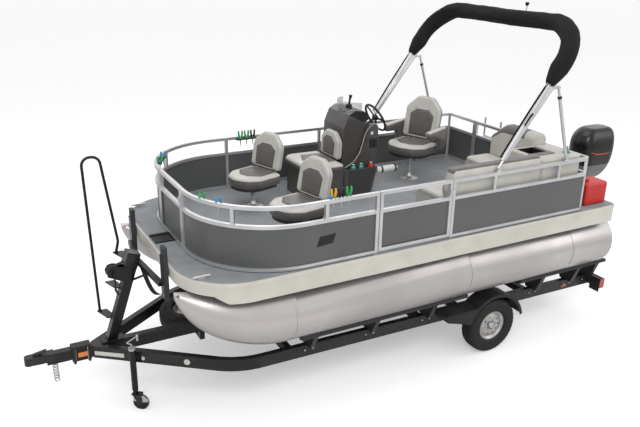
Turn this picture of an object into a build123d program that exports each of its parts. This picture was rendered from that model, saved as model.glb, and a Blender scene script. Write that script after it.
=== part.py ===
from build123d import *
import os
from math import asin, atan, cos, degrees, pi, radians, sin, sqrt

# A pontoon boat of the sixteen foot class on its single axle trailer, in millimetres.
# The layout is drawn with x = 0 at the aft fence, +X to the bow, +Y to port, z = 0 on the ground.
# Every solid is then moved along X so that the origin lies midway between coupler and motor.
os.makedirs("parts", exist_ok=True)

# Deck
deck_top = 1520.0
deck_thickness = 25.0
deck_half_width = 1220.0
deck_bow = 4430.0
deck_stern = -500.0
bow_corner_radius = 550.0
stern_corner_radius = 70.0
skirt_wall = 8.0
skirt_height = 186.0
bow_skirt_height = 120.0
rub_rail_height = 34.0
rub_rail_depth = 7.0

# Pontoons and the beams between them
pontoon_y = deck_half_width - 330.0
pontoon_radius = 305.0
pontoon_z = 1028.0
pontoon_tail = -570.0
nose_start = 3500.0
channel_height = 60.0
channel_width = 38.0
channel_wall = 4.0
channel_count = 9
first_channel = -300.0
last_channel = 4060.0
riser_wall = 10.0

# Fence
fence_outer = deck_half_width - 35.0
fence_bow = 4215.0
fence_stern_radius = 70.0
fence_split = 1984.0
tube = 32.0
fence_foot = 9.0
fence_height = 600.0
fence_mid_height = 414.0
panel_thickness = 4.0
gate_gap = 8.0
side_gate_aft = 1829.0
side_gate_fore = 2655.0
bow_gate_half = 325.0
fence_corner_radius = fence_outer - bow_gate_half - 30.0
stern_gate_starboard = -650.0
stern_gate_port = -100.0
hinge_radius = 7.0
hinge_set_in = 8.0
gate_foot = 24.0

# Trailer
rail_y = pontoon_y - 20.0
rail_width = 60.0
rail_height = 120.0
rail_top_stern = 508.0
rail_top_bend = 574.0
rail_stern = -690.0
rail_bend = 3907.0
tongue_meet = 5030.0
tongue_top = 590.0
tongue_stern = 3380.0
tongue_hinge = 5155.0
coupler_tip = 5651.0
ball_radius = 26.0
ball_depth = 52.0
spare_centre = (3970.0, -362.0, 483.0)
wheel_x = 1040.0
tyre_radius = 314.0
tyre_width = 185.0
tyre_y = rail_y + 148.0
rim_radius = 166.0
bunk_offset = 110.0
bunk_width = 89.0
bunk_thickness = 38.0
seat_gap = 0.3
bracket_stations = (-560.0, -250.0, 300.0, 1810.0, 2510.0, 3200.0)

# Winch stand and jack
tread_levels = (810.0, 1100.0, 1390.0)
tread_reach = 222.0
tread_front = 138.0
handrail_y = 200.0
# x and height of the handrail's lower foot, its two top corners, its knee and its upper foot
handrail_path = ((4909.0, 814.0), (4944.0, 2345.0), (4786.0, 2345.0), (4680.0, 1500.0), (4706.0, 1394.0))
winch_level = 1244.0
winch_offset = 158.0
jack_x = 4700.0
jack_pivot_z = 535.0
caster_radius = 75.0
caster_trail = -50.0
post_size = 90.0
post_foot = (4869.0, 590.0)
post_head = (4594.0, 1400.0)
bow_stop_y = 530.0

# Canopy
bimini_half = fence_outer - 35.0
bimini_foot_x = 1263.0
bimini_foot_z = 2150.0
bimini_top = 3470.0
bimini_slope = 0.72
bow_radius = 12.5
bow_pitch = 46.0
boot_radius = 72.0
boot_share = 0.66
light_y = 290.0
prop_foot_x = 345.0
prop_head = (588.0, 2892.0)
pivot_pin = 5.0
pivot_play = 0.06

# Helm
helm_tilt = 62.0
column_reach = 115.0
ladder_x = -430.0
ladder_y = 400.0 - deck_half_width
ladder_pivot = (-515.0, 1545.0)

# Seats and helm
console_aft = 1720.0
console_front = 2168.0
console_starboard = 335.0 - fence_outer
console_port = console_starboard + 600.0
tray_rim = 1850.0
fin_inset = 100.0
fin_thickness = 30.0
helm_centre = (1600.0, console_port - 310.0, 2330.0)
lounge_outer = fence_outer - 55.0
lounge_depth = 570.0
lounge_seat = 1830.0
lounge_back = 2190.0
back_lean = 11.0

# Outboard motor
motor_x = -1400.0
transom_x = -1000.0
pod_half_width = 280.0
transom_top = 1430.0
tilt_axis = (-985.0, 1500.0)
steer_axis_x = -1140.0
propeller_z = 775.0
propeller_radius = 140.0


def block(x_low, x_high, y_low, y_high, z_low, z_high):
    """A square bar between two opposite corners."""
    middle = Pos((x_low + x_high) / 2, (y_low + y_high) / 2, (z_low + z_high) / 2)
    return middle * Box(x_high - x_low, y_high - y_low, z_high - z_low)


def rod(start, end, radius):
    """A round bar from one point to another."""
    line = Vector(*end) - Vector(*start)
    return extrude(Plane(origin=start, z_dir=line) * Circle(radius), amount=line.length)


def bar(start, end, width, depth):
    """A rectangular bar from one point to another, its width kept level."""
    line = Vector(*end) - Vector(*start)
    level = Vector(0, 0, 1).cross(line)
    if level.length < 1.0:
        level = Vector(0, 1, 0)
    section = Plane(origin=start, x_dir=level, z_dir=line) * Rectangle(width, depth)
    return extrude(section, amount=line.length)


def swept(points, radii, section, level=True):
    """A section carried along straight runs with round corners."""
    path = FilletPolyline(*points, radius=radii)
    start = path % 0
    across = Vector(0, 0, 1).cross(start) if level else Vector(0, 1, 0)
    return sweep(Plane(origin=path @ 0, x_dir=across, z_dir=start) * section, path=path)


def side_form(sketch, y_low, y_high):
    """A sketch drawn in X and Z, made solid from one Y to another."""
    plane = Plane(origin=(0, y_high, 0), x_dir=(1, 0, 0), z_dir=(0, -1, 0))
    return extrude(plane * sketch, amount=y_high - y_low)


def cross_form(sketch, x_low, x_high):
    """A sketch drawn in Y and Z, made solid from one X to another."""
    plane = Plane(origin=(x_low, 0, 0), x_dir=(0, 1, 0), z_dir=(1, 0, 0))
    return extrude(plane * sketch, amount=x_high - x_low)


def outline(*points):
    """A flat face inside straight edges."""
    return make_face(Polyline(*points, close=True))


def deck_outline(inset):
    """The plan of the deck, drawn in by an inset all round."""
    length = deck_bow - deck_stern - 2 * inset
    plan = Pos((deck_bow + deck_stern) / 2, 0) * Rectangle(length, 2 * (deck_half_width - inset))
    plan = fillet(plan.vertices().group_by(Axis.X)[-1], bow_corner_radius - inset)
    return fillet(plan.vertices().group_by(Axis.X)[0], stern_corner_radius - inset)


def deck_half_width_at(x):
    """Half of the deck's width at one station, less at the round bow corners."""
    centre = deck_bow - bow_corner_radius
    if x <= centre:
        return deck_half_width
    reach = bow_corner_radius ** 2 - (x - centre) ** 2
    return deck_half_width - bow_corner_radius + sqrt(reach)


def deck_parts():
    """Deck board, side skirt with its rub rail, and the cross channels below."""
    bottom = deck_top - deck_thickness
    board = Pos(0, 0, bottom) * extrude(deck_outline(rub_rail_depth + skirt_wall), amount=deck_thickness)
    band = deck_outline(rub_rail_depth) - deck_outline(rub_rail_depth + skirt_wall)
    skirt = Pos(0, 0, deck_top - skirt_height) * extrude(band, amount=skirt_height + 3)
    bead = deck_outline(0) - deck_outline(rub_rail_depth + skirt_wall / 2)
    rub_rail = Pos(0, 0, deck_top + 3 - rub_rail_height) * extrude(bead, amount=rub_rail_height)
    step_start = deck_bow - 330.0
    step_rise = skirt_height - bow_skirt_height
    relief = outline((step_start, deck_top - skirt_height - 1),
                     (step_start + 110, deck_top - skirt_height + step_rise),
                     (deck_bow + 1, deck_top - skirt_height + step_rise),
                     (deck_bow + 1, deck_top - skirt_height - 1))
    skirt = skirt + rub_rail - side_form(relief, -deck_half_width, deck_half_width)
    skirt = skirt - block(deck_stern - 1, deck_stern + 30, -pod_half_width - 1, pod_half_width + 1,
                          deck_top - skirt_height - 1, bottom)
    channels = []
    for index in range(channel_count):
        x = first_channel + index * (last_channel - first_channel) / (channel_count - 1)
        reach = deck_half_width_at(x + channel_width / 2) - rub_rail_depth - skirt_wall - 4
        outside = block(x - channel_width / 2, x + channel_width / 2, -reach, reach,
                        bottom - channel_height, bottom)
        inside = block(x - channel_width / 2 + channel_wall, x + channel_width, -reach, reach,
                       bottom - channel_height + channel_wall, bottom - channel_wall)
        channels.append(outside - inside)
    return board, skirt, channels


def channel_stations():
    """Where the cross channels lie along the boat."""
    step = (last_channel - first_channel) / (channel_count - 1)
    return [first_channel + index * step for index in range(channel_count)]


def pontoon(side):
    """One pontoon: a round log, a nose drawn in to a keel edge, and a riser under each channel."""
    y = side * pontoon_y
    log = cross_form(Pos(y, pontoon_z) * Circle(pontoon_radius), pontoon_tail, nose_start)
    log = fillet(log.edges().group_by(Axis.X)[0], 25)
    top = pontoon_z + pontoon_radius
    low = pontoon_z - pontoon_radius
    # station from the nose's start, half width, height of the keel, height of the top
    sections = [
        (0.0, pontoon_radius, low, top),
        (170.0, pontoon_radius - 3, low + 11, top + 2),
        (400.0, pontoon_radius - 25, low + 72, top + 9),
        (680.0, pontoon_radius - 105, low + 210, top + 30),
        (890.0, pontoon_radius - 215, low + 420, top + 55),
        (985.0, 24.0, low + 610, top + 78),
    ]
    faces = []
    for station, half_width, keel, crown in sections:
        plane = Plane(origin=(nose_start + station, y, (keel + crown) / 2), x_dir=(0, 1, 0), z_dir=(1, 0, 0))
        faces.append(plane * Ellipse(half_width, (crown - keel) / 2))
    hull = log + loft(faces)
    eye = Pos(nose_start + 962, y, low + 655) * Rot(90, 0, 0) * Cylinder(13, 200)
    hull = hull - eye
    floor = deck_top - deck_thickness - channel_height
    for x in channel_stations():
        if x > nose_start + 300:
            continue
        riser = Pos(y, 0) * outline((-95, pontoon_z + 220), (95, pontoon_z + 220), (60, floor), (-60, floor))
        gap = Pos(y, 0) * outline((-70, pontoon_z + 200), (70, pontoon_z + 200), (44, floor - riser_wall),
                                  (-44, floor - riser_wall))
        hull = hull + cross_form(riser - gap, x - 35, x + 35)
    for x in (pontoon_tail + 620, pontoon_tail + 2050, nose_start - 40):
        band = Pos(y, pontoon_z) * Circle(pontoon_radius + 4)
        band = cross_form(band - Pos(y, pontoon_z) * Circle(pontoon_radius - 5), x, x + 14)
        hull = hull + (band - block(x - 1, x + 15, y - 400, y + 400, 0, pontoon_z - 150))
    return hull


def fence_sections():
    """The fixed runs of the fence: plan points and corner radii at the middle of the tube."""
    side = fence_outer - tube / 2
    bow = fence_bow - tube / 2
    stern = tube / 2
    bow_radius = fence_corner_radius - tube / 2
    stern_radius = fence_stern_radius - tube / 2
    return {
        "starboard_aft": ([(stern, stern_gate_starboard), (stern, -side), (fence_split, -side)], [stern_radius]),
        "starboard_bow": ([(fence_split, -side), (bow, -side), (bow, -bow_gate_half)], [bow_radius]),
        "port_bow": ([(side_gate_fore, side), (bow, side), (bow, bow_gate_half)], [bow_radius]),
        "port_aft": ([(side_gate_aft, side), (stern, side), (stern, stern_gate_port)], [stern_radius]),
    }


def rail_levels():
    """Heights of the middle of the bottom, middle and top rails."""
    bottom = deck_top + fence_foot + tube / 2
    middle = deck_top + fence_mid_height
    top = deck_top + fence_height - tube / 2
    return bottom, middle, top


def fence_parts():
    """Rails and posts welded into four runs, and the sheets that close them below the middle rail."""
    bottom, middle, top = rail_levels()
    side = fence_outer - tube / 2
    bow = fence_bow - tube / 2
    corner = fence_corner_radius - tube / 2
    turn = corner * (1 - cos(pi / 4))
    # run, x, y, full height from the bottom rail or short from the middle rail
    posts = [
        ("starboard_aft", tube / 2, stern_gate_starboard - tube / 2, "full"),
        ("starboard_aft", 1330.0, -side, "short"),
        ("starboard_bow", fence_split + tube / 2, -side, "full"),
        ("starboard_bow", 3190.0, -side, "full"),
        ("starboard_bow", bow - turn, -side + turn, "short"),
        ("starboard_bow", bow, -bow_gate_half - tube / 2, "full"),
        ("port_bow", side_gate_fore + tube / 2, side, "full"),
        ("port_bow", 3190.0, side, "short"),
        ("port_bow", bow - turn, side - turn, "short"),
        ("port_bow", bow, bow_gate_half + tube / 2, "full"),
        ("port_aft", side_gate_aft - tube / 2, side, "full"),
        ("port_aft", 1310.0, side, "short"),
        ("port_aft", 450.0, side, "short"),
        ("port_aft", tube / 2, stern_gate_port + tube / 2, "full"),
    ]
    rails = []
    panels = []
    for name, (points, radii) in fence_sections().items():
        run = None
        for level in (bottom, middle, top):
            rail = swept([(x, y, level) for x, y in points], radii, Rectangle(tube, tube))
            run = rail if run is None else run + rail
        for owner, x, y, kind in posts:
            if owner != name:
                continue
            foot = bottom if kind == "full" else middle
            spin = 45 if (x, y) in ((bow - turn, -side + turn), (bow - turn, side - turn)) else 0
            post = Pos(x, y, (foot + top) / 2) * Rot(0, 0, spin) * Box(tube, tube, top - foot)
            run = run + post
            if kind == "full":
                run = run + block(x - tube / 2, x + tube / 2, y - tube / 2, y + tube / 2, deck_top, bottom)
        for gate_name, carrier, x, y, heading, hand, opening in gate_table():
            if carrier == name:
                run = run + Pos(x, y, 0) * Rot(0, 0, heading) * post_hinges(hand)
        rails.append(run)
        sheet = swept([(x, y, (bottom + middle) / 2) for x, y in points], radii,
                      Rectangle(panel_thickness, middle - bottom - tube))
        panels.append(sheet - run)
    return rails, panels


def hinge_heights():
    """Heights of the two hinges of every gate."""
    bottom, middle, top = rail_levels()
    return bottom + 90, top - 70


def gate(opening, hand):
    """A gate drawn along +X from its hinge line: tube frame with a middle rail, sheet, latch and hinges."""
    bottom, middle, top = rail_levels()
    low = deck_top + gate_foot
    start = gate_gap / 2
    length = opening - 1.5 * gate_gap
    y = hand * (hinge_set_in + tube / 2)
    centre = start + length / 2
    frame = Pos(centre, y, (low + top + tube / 2) / 2) * Box(length, tube, top + tube / 2 - low)
    for window_low, window_high in ((low + tube, middle - tube / 2), (middle + tube / 2, top - tube / 2)):
        window = Box(length - 2 * tube, tube * 2, window_high - window_low)
        frame = frame - Pos(centre, y, (window_low + window_high) / 2) * window
    sheet_rise = middle - tube / 2 - low - tube
    sheet = Pos(centre, y, low + tube + sheet_rise / 2) * Box(length - 2 * tube, panel_thickness, sheet_rise)
    frame = frame + Pos(start + length - tube / 2, y, middle + 70) * Box(26, tube + 26, 46)
    for z in hinge_heights():
        frame = frame + Pos(0, 0, z) * Cylinder(hinge_radius, 44)
        frame = frame + block(0, tube, min(hand * 5, hand * hinge_set_in), max(hand * 5, hand * hinge_set_in),
                              z - 22, z + 22)
    return frame, sheet


def post_hinges(hand):
    """The halves of a gate's hinges that stay on the post, drawn about the hinge line."""
    made = None
    for z in hinge_heights():
        for low, high in ((z - 45, z - 22.5), (z + 22.5, z + 45)):
            half = Pos(0, 0, (low + high) / 2) * Cylinder(hinge_radius, high - low)
            half = half + block(-tube, 0, min(hand * 5, hand * hinge_set_in), max(hand * 5, hand * hinge_set_in),
                                low, high)
            made = half if made is None else made + half
    return made


def gate_table():
    """Each gate: name, run of fence that carries it, hinge x, hinge y, heading, hand, clear opening."""
    side = fence_outer - tube / 2
    bow = fence_bow - tube / 2
    set_in = hinge_set_in + tube / 2
    stern_opening = stern_gate_port - stern_gate_starboard
    return [
        ("side_gate", "port_bow", side_gate_fore - gate_gap / 2, side - set_in, 180.0, -1,
         side_gate_fore - side_gate_aft),
        ("bow_gate", "starboard_bow", bow - set_in, -bow_gate_half + gate_gap / 2, 90.0, -1, 2 * bow_gate_half),
        ("stern_gate", "starboard_aft", tube / 2 + set_in, stern_gate_starboard + gate_gap / 2, 90.0, 1, stern_opening),
    ]


def gates():
    """Side, bow and stern gates set in their openings."""
    made = {}
    for name, run, x, y, heading, hand, opening in gate_table():
        place = Pos(x, y, 0) * Rot(0, 0, heading)
        made[name] = [place * solid for solid in gate(opening, hand)]
    return made


def rail_top_at(x):
    """Height of the side rail's top face at one station: the trailer stands a little nose up."""
    if x > rail_bend:
        share = (x - rail_bend) / (tongue_meet - rail_bend)
        return rail_top_bend + share * (tongue_top - rail_top_bend)
    share = (x - rail_stern) / (rail_bend - rail_stern)
    return rail_top_stern + share * (rail_top_bend - rail_top_stern)


def trailer_frame():
    """Side rails drawn in to the tongue, cross beams, the straight tongue tube and the spare's carrier."""
    half = rail_height / 2
    frame = None
    for side in (-1, 1):
        points = [(rail_stern, side * rail_y, rail_top_stern - half),
                  (rail_bend, side * rail_y, rail_top_bend - half),
                  (tongue_meet, side * 28, tongue_top - half)]
        rail = swept(points, [650], Rectangle(rail_width, rail_height))
        frame = rail if frame is None else frame + rail
    for x in (rail_stern + 60, 350.0, 1850.0, tongue_stern):
        beam_top = rail_top_at(x) - 20
        frame = frame + block(x - 30, x + 30, -rail_y, rail_y, beam_top - 80, beam_top)
    frame = frame + block(tongue_stern, tongue_hinge - 90, -38, 38, tongue_top - 120, tongue_top)
    spare_x, spare_y, spare_z = spare_centre
    disc = spare_z + tyre_width * 0.34 - 33
    floor = spare_z - tyre_width / 2 - 6
    frame = frame + block(spare_x - 25, spare_x + 25, -800, 38, floor - 12, floor)
    frame = frame + block(spare_x - 25, spare_x + 25, -38, 38, floor - 12, tongue_top - 110)
    frame = frame + block(spare_x - 25, spare_x + 25, -815, -790, floor - 12, rail_top_at(spare_x) - rail_height + 20)
    frame = frame + Pos(spare_x, spare_y, (floor + disc) / 2 - 1) * Cylinder(50, disc - floor - 2 * seat_gap + 2)
    return frame


def tongue_and_coupler():
    """Swing hinge sleeve, front tongue tube and the ball coupler with its latch."""
    level = tongue_top - 48
    sleeve = block(tongue_hinge - 90, tongue_hinge + 85, -48, 48, tongue_top - 123, tongue_top + 27)
    sleeve = sleeve - block(tongue_hinge - 91, tongue_hinge - 20, -38, 38, tongue_top - 120, tongue_top)
    sleeve = sleeve + block(tongue_hinge - 90, tongue_hinge - 60, -38, 38, tongue_top, tongue_top + 27)
    for x in (tongue_hinge - 70, tongue_hinge + 66):
        sleeve = sleeve + Pos(x, 56, level) * Cylinder(12, 180)
    nose = block(tongue_hinge + 85, coupler_tip - 190, -38, 38, tongue_top - 100, tongue_top + 5)
    ball_x = coupler_tip - 42.0
    cheek = outline((coupler_tip - 260, -46), (coupler_tip - 120, -46), (ball_x, -38), (ball_x, 38),
                    (coupler_tip - 120, 46), (coupler_tip - 260, 46))
    floor = tongue_top - 66
    body = Pos(0, 0, floor) * extrude(cheek, amount=80)
    body = body + Pos(ball_x, 0, floor + 40) * Cylinder(42, 80)
    body = body - Pos(ball_x, 0, floor + ball_depth / 2 - 1) * Cylinder(ball_radius, ball_depth + 2)
    body = body - block(coupler_tip - 180, ball_x - 60, -30, 30, floor - 1, floor + 60)
    lever = bar((coupler_tip - 200, 0, tongue_top + 46), (coupler_tip - 80, 0, tongue_top + 24), 34, 12)
    post = block(coupler_tip - 150, coupler_tip - 130, -10, 10, tongue_top + 5, tongue_top + 38)
    return [sleeve + nose + body + post + lever]


def tyre_profile(radius, inner, width):
    """Half of a tyre's section, drawn from the rim seat to the tread."""
    half = width / 2
    return make_face(
        Polyline((inner, -half * 0.62), (inner + 14, -half * 0.86))
        + ThreePointArc((inner + 14, -half * 0.86), ((inner + radius) / 2, -half), (radius - 18, -half * 0.84))
        + ThreePointArc((radius - 18, -half * 0.84), (radius, 0), (radius - 18, half * 0.84))
        + ThreePointArc((radius - 18, half * 0.84), ((inner + radius) / 2, half), (inner + 14, half * 0.86))
        + Polyline((inner + 14, half * 0.86), (inner, half * 0.62), (inner, -half * 0.62)))


def wheel_parts(centre, spin):
    """A tyre and its pressed steel rim, made about Z and then turned to the axle."""
    tyre = revolve(Plane.XZ * tyre_profile(tyre_radius, rim_radius, tyre_width), Axis.Z)
    half = tyre_width * 0.34
    rim = outline((rim_radius - 6, -half), (rim_radius - seat_gap, -half), (rim_radius - seat_gap, -half + 8),
                  (rim_radius - 22, -half + 24), (rim_radius - 22, half - 24), (rim_radius - seat_gap, half - 8),
                  (rim_radius - seat_gap, half), (rim_radius - 6, half), (rim_radius - 28, half - 22),
                  (rim_radius - 28, half - 30), (rim_radius - 60, half - 12), (62, half - 16), (58, half - 28),
                  (42, half - 28), (42, half - 33), (60, half - 33), (66, half - 22), (rim_radius - 62, half - 18),
                  (rim_radius - 28, half - 38), (rim_radius - 28, -half + 22))
    rim = revolve(Plane.XZ * rim, Axis.Z)
    for index in range(10):
        vent = Pos(cos(2 * pi * index / 10) * 100, sin(2 * pi * index / 10) * 100, half - 16) * Cylinder(11, 40)
        rim = rim - vent
    place = Pos(*centre) * spin
    return place * tyre, place * rim


def axle():
    """Rubber torsion axle: square beam, trailing arms, spindles and hubs."""
    beam_x = wheel_x + 150
    under = rail_top_at(beam_x - 75) - rail_height
    beam_z = under - 41
    unit = block(beam_x - 35, beam_x + 35, -rail_y - 28, rail_y + 28, beam_z - 35, beam_z + 35)
    for side in (-1, 1):
        y = side * (rail_y + 12)
        arm = bar((beam_x, y, beam_z), (wheel_x, y, tyre_radius), 30, 62)
        unit = unit + arm + Pos(wheel_x, y, tyre_radius) * Rot(90, 0, 0) * Cylinder(36, 30)
        unit = unit + Pos(beam_x, side * (rail_y - 30), under - 3) * Box(150, 60, 6)
        face = tyre_y + tyre_width * 0.34 - 33 - seat_gap
        for radius, low, high in ((34, rail_y + 10, face), (62, face - 10, face), (36, face - 1, face + 34)):
            hub = Pos(wheel_x, side * (low + high) / 2, tyre_radius) * Rot(90, 0, 0) * Cylinder(radius, high - low)
            unit = unit + hub
    return unit


def fenders():
    """Round mudguards with a hollow step in front, on brackets from the side rails."""
    made = []
    outer = 391.0
    sheet = 6.0
    front = wheel_x + 690
    arch = Pos(wheel_x, tyre_radius) * (Circle(outer) - Circle(outer - sheet))
    lip = Pos(wheel_x, tyre_radius) * (Circle(outer) - Circle(outer - 34))
    below = outline((wheel_x - 500, tyre_radius + 100), (wheel_x, tyre_radius + 12), (wheel_x + 500, tyre_radius + 165),
                    (wheel_x + 500, -200), (wheel_x - 500, -200))
    step = outline((wheel_x + 258, 604), (front, 604), (front - 30, 530), (wheel_x + 414, 456),
                   (wheel_x + 366, 430)) - Pos(wheel_x, tyre_radius) * Circle(outer - 1)
    hollow = outline((wheel_x + 280, 598), (front - 8, 598), (front - 36, 528), (front - 30, 400),
                     (wheel_x + 372, 400)) - Pos(wheel_x, tyre_radius) * Circle(outer + 5)
    for side in (-1, 1):
        near, far = sorted((side * (tyre_y - 102), side * (tyre_y + 114)))
        edge_near, edge_far = sorted((side * (tyre_y + 108), side * (tyre_y + 114)))
        guard = side_form(arch - below, near, far) + side_form(lip - below, edge_near, edge_far)
        guard = guard + (side_form(step, near, far) - side_form(hollow, near + sheet, far - sheet))
        inner_near, inner_far = sorted((side * (rail_y + rail_width / 2), side * (tyre_y - 96)))
        guard = guard + block(wheel_x + 350, wheel_x + 430, inner_near, inner_far, 470, 525)
        guard = guard + block(wheel_x - 384, wheel_x - 330, inner_near, inner_far, 440, 500)
        made.append(guard)
    return made


def bunks():
    """Carpeted boards laid tangent under each pontoon, in two lengths broken for the mudguards."""
    lean = asin(bunk_offset / pontoon_radius)
    reach = pontoon_radius + 2 * seat_gap + bunk_thickness / 2
    made = []
    for side in (-1, 1):
        for lay in (-1, 1):
            y = side * pontoon_y + lay * reach * sin(lean)
            z = pontoon_z - reach * cos(lean)
            for x_low, x_high in ((-690.0, 650.0), (1390.0, 3340.0)):
                board = Box(x_high - x_low, bunk_width, bunk_thickness)
                made.append(Pos((x_low + x_high) / 2, y, z) * Rot(degrees(lean) * lay, 0, 0) * board)
    return made


def bunk_brackets():
    """Saddle brackets that carry the boards on the side rails."""
    under = pontoon_radius + 2 * seat_gap + bunk_thickness
    lean = asin(bunk_offset / pontoon_radius)
    spread = under * sin(lean) + 40 * cos(lean)
    shoulder = pontoon_z - under * cos(lean) + 40 * sin(lean)
    middle = under - bunk_thickness / 2
    made = []
    for side in (-1, 1):
        y = side * pontoon_y
        for x in bracket_stations:
            foot = rail_top_at(x + 25)
            saddle = Pos(y, 0) * outline((-80, foot), (-spread, shoulder), (spread, shoulder), (80, foot))
            saddle = saddle - Pos(y, pontoon_z) * Circle(under)
            for lay in (-1, 1):
                board = Pos(y + lay * middle * sin(lean), pontoon_z - middle * cos(lean))
                board = board * Rot(0, 0, degrees(lean) * lay)
                saddle = saddle - board * Rectangle(bunk_width + 2, bunk_thickness + 2 * seat_gap)
            made.append(cross_form(saddle, x - 25, x + 25))
    return made


def post_at(z):
    """Station of the winch post's middle at one height."""
    share = (z - post_foot[1]) / (post_head[1] - post_foot[1])
    return post_foot[0] + share * (post_head[0] - post_foot[0])


def post_lean():
    """The winch post's lean from upright, in degrees."""
    return degrees(atan((post_foot[0] - post_head[0]) / (post_head[1] - post_foot[1])))


def winch_stand():
    """Leaning post with three treads, a head box, and two braced arms to the bow stops."""
    foot_x, foot_z = post_foot
    head_x, head_z = post_head
    stand = bar((post_at(foot_z - 40), 0, foot_z - 40), (head_x, 0, head_z), post_size, post_size)
    stand = stand - block(foot_x - 300, foot_x + 300, -100, 100, foot_z - 200, foot_z)
    stand = stand + block(foot_x - 120, foot_x + 90, -52, 52, foot_z, foot_z + 16)
    stand = stand + Pos(head_x + 24, 0, head_z - 10) * Rot(0, -post_lean(), 0) * Box(125, 120, 140)
    inner = -post_size / 2 + 5
    for z in tread_levels:
        x = post_at(z)
        plan = outline((x, inner), (x + 80, inner), (x + tread_front, -tread_reach), (x + 45, -tread_reach))
        gusset = outline((inner, z - 150), (-tread_reach + 15, z - 12), (inner, z - 12))
        stand = stand + Pos(0, 0, z - 12) * extrude(plan, amount=12) + cross_form(gusset, x + 30, x + 38)
    plate_x = deck_bow + 42 + seat_gap
    low = deck_top - 190
    for side in (-1, 1):
        y = side * bow_stop_y
        arm = bar((head_x - 30, side * 40, head_z - 30), (plate_x + 20, y, low), 45, 45)
        stand = stand + arm + block(plate_x, plate_x + 8, y - 40, y + 40, low - 130, low + 270)
        brace_z = head_z - 220
        stand = stand + rod((post_at(brace_z) - 30, side * 30, brace_z), (plate_x + 50, side * 300, low + 18), 11)
    return stand - block(deck_bow, plate_x, -700, 700, 1100, 1700)


def step_handrail():
    """Tall hoop of round tube from the lowest tread to the highest."""
    points = [(x, -handrail_y, z) for x, z in handrail_path]
    hoop_tube = swept(points, [75, 75, 90], Circle(13), level=False)
    for (x, z), level in ((handrail_path[0], tread_levels[0]), (handrail_path[-1], tread_levels[-1])):
        hoop_tube = hoop_tube + Pos(x, -handrail_y, level + 4) * Cylinder(22, 8)
    return hoop_tube


def winch():
    """Strap drum between two cheeks on the front of the post, with its crank."""
    place = Pos(post_at(winch_level), 0, winch_level) * Rot(0, -post_lean(), 0)
    face = post_size / 2
    x = winch_offset
    body = block(face, face + 6, -48, 48, -80, 70)
    cheek = outline((face, -72), (face + 50, -68), (x + 40, -52), (x + 62, -10), (x + 50, 40), (x + 10, 62),
                    (face + 20, 66), (face, 66))
    for low in (-44, 39):
        body = body + side_form(cheek, low, low + 5)
    drum = Pos(x, 0, 0) * Rot(90, 0, 0) * Cylinder(24, 100) + Pos(x, 0, 0) * Rot(90, 0, 0) * Cylinder(54, 66)
    crank = rod((x, 44, 0), (x, 84, 0), 9) + rod((x, 80, 0), (x - 50, 80, -150), 8)
    crank = crank + rod((x - 50, 74, -150), (x - 50, 180, -150), 12)
    return place * (body + drum + crank)


def bow_stops():
    """Upright carpeted boards that meet the bow, one each side."""
    made = []
    for side in (-1, 1):
        y = side * bow_stop_y
        pad = block(deck_bow + seat_gap, deck_bow + 42, y - 46, y + 46, deck_top - 350, deck_top + 160)
        made.append(fillet(pad.edges().filter_by(Axis.Z), 12))
    return made


def jack_place():
    """Where the jack hangs: a frame on the port drawbar's outer face, local Y pointing out of it."""
    drop = rail_y - 28
    length = sqrt((tongue_meet - rail_bend) ** 2 + drop ** 2)
    along = ((tongue_meet - rail_bend) / length, -drop / length)
    outward = (-along[1], along[0])
    share = (jack_x - rail_bend) / (tongue_meet - rail_bend)
    x = jack_x + outward[0] * rail_width / 2
    y = rail_y - share * drop + outward[1] * rail_width / 2
    return Plane(origin=(x, y, 0), x_dir=(along[0], along[1], 0), z_dir=(0, 0, 1))


def jack():
    """Swing-up jack on the drawbar: fixed swivel plate, then the tube with its crank, and the caster."""
    frame = jack_place()
    reach = 62.0
    pivot_z = jack_pivot_z
    plate = block(-60, 60, 0, 8, pivot_z - 50, pivot_z + 50)
    plate = plate + Pos(0, 13, pivot_z) * Rot(90, 0, 0) * Cylinder(44, 10)
    collar = Pos(0, 28.5, pivot_z) * Rot(90, 0, 0) * Cylinder(44, 19)
    tube_solid = Pos(0, reach, 422) * Cylinder(29, 434) + Pos(0, reach, 646) * Cylinder(33, 22)
    inner = Pos(0, reach, 190) * Cylinder(23, 60)
    crank = rod((0, reach, 650), (0, reach, 690), 7) + rod((-4, reach, 688), (47, reach, 700), 6)
    crank = crank + rod((45, reach, 700), (-60, reach, 786), 6) + rod((-60, reach, 740), (-60, reach, 800), 11)
    crank = crank + Pos(-60, reach, 786) * Sphere(13)
    fork = block(-64, 32, reach - 32, reach + 32, 160, 166)
    for side in (-1, 1):
        cheek = outline((-60, 166), (24, 166), (caster_trail + 16, 62), (caster_trail - 16, 62))
        y_low = reach + side * 32 - (6 if side > 0 else 0)
        fork = fork + side_form(cheek, y_low, y_low + 6)
    fork = fork + Pos(caster_trail, reach, caster_radius) * Rot(90, 0, 0) * Cylinder(8, 64)
    wheel = Pos(caster_trail, reach, caster_radius) * Rot(90, 0, 0) * Cylinder(caster_radius, 40)
    wheel = fillet(wheel.edges(), 8) - Pos(caster_trail, reach, caster_radius) * Rot(90, 0, 0) * Cylinder(8.4, 80)
    leg = collar + tube_solid + inner + crank + fork
    return frame.location * plate, frame.location * leg, frame.location * wheel


def seat_plan(half, aft, straight, bulge):
    """Plan of a seat cushion: square at the back, round in front."""
    plan = Pos((straight + aft) / 2, 0) * Rectangle(straight - aft, 2 * half)
    plan = fillet(plan.vertices().group_by(Axis.X)[0], 45)
    return plan + Pos(straight, 0) * Ellipse(bulge, half)


def back_face(width, rise, crown):
    """Front view of a chair's back: small corners at its foot, full round shoulders."""
    face = Rectangle(width, rise)
    face = fillet(face.vertices().group_by(Axis.Y)[-1], crown)
    return fillet(face.vertices().group_by(Axis.Y)[0], 40)


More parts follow.
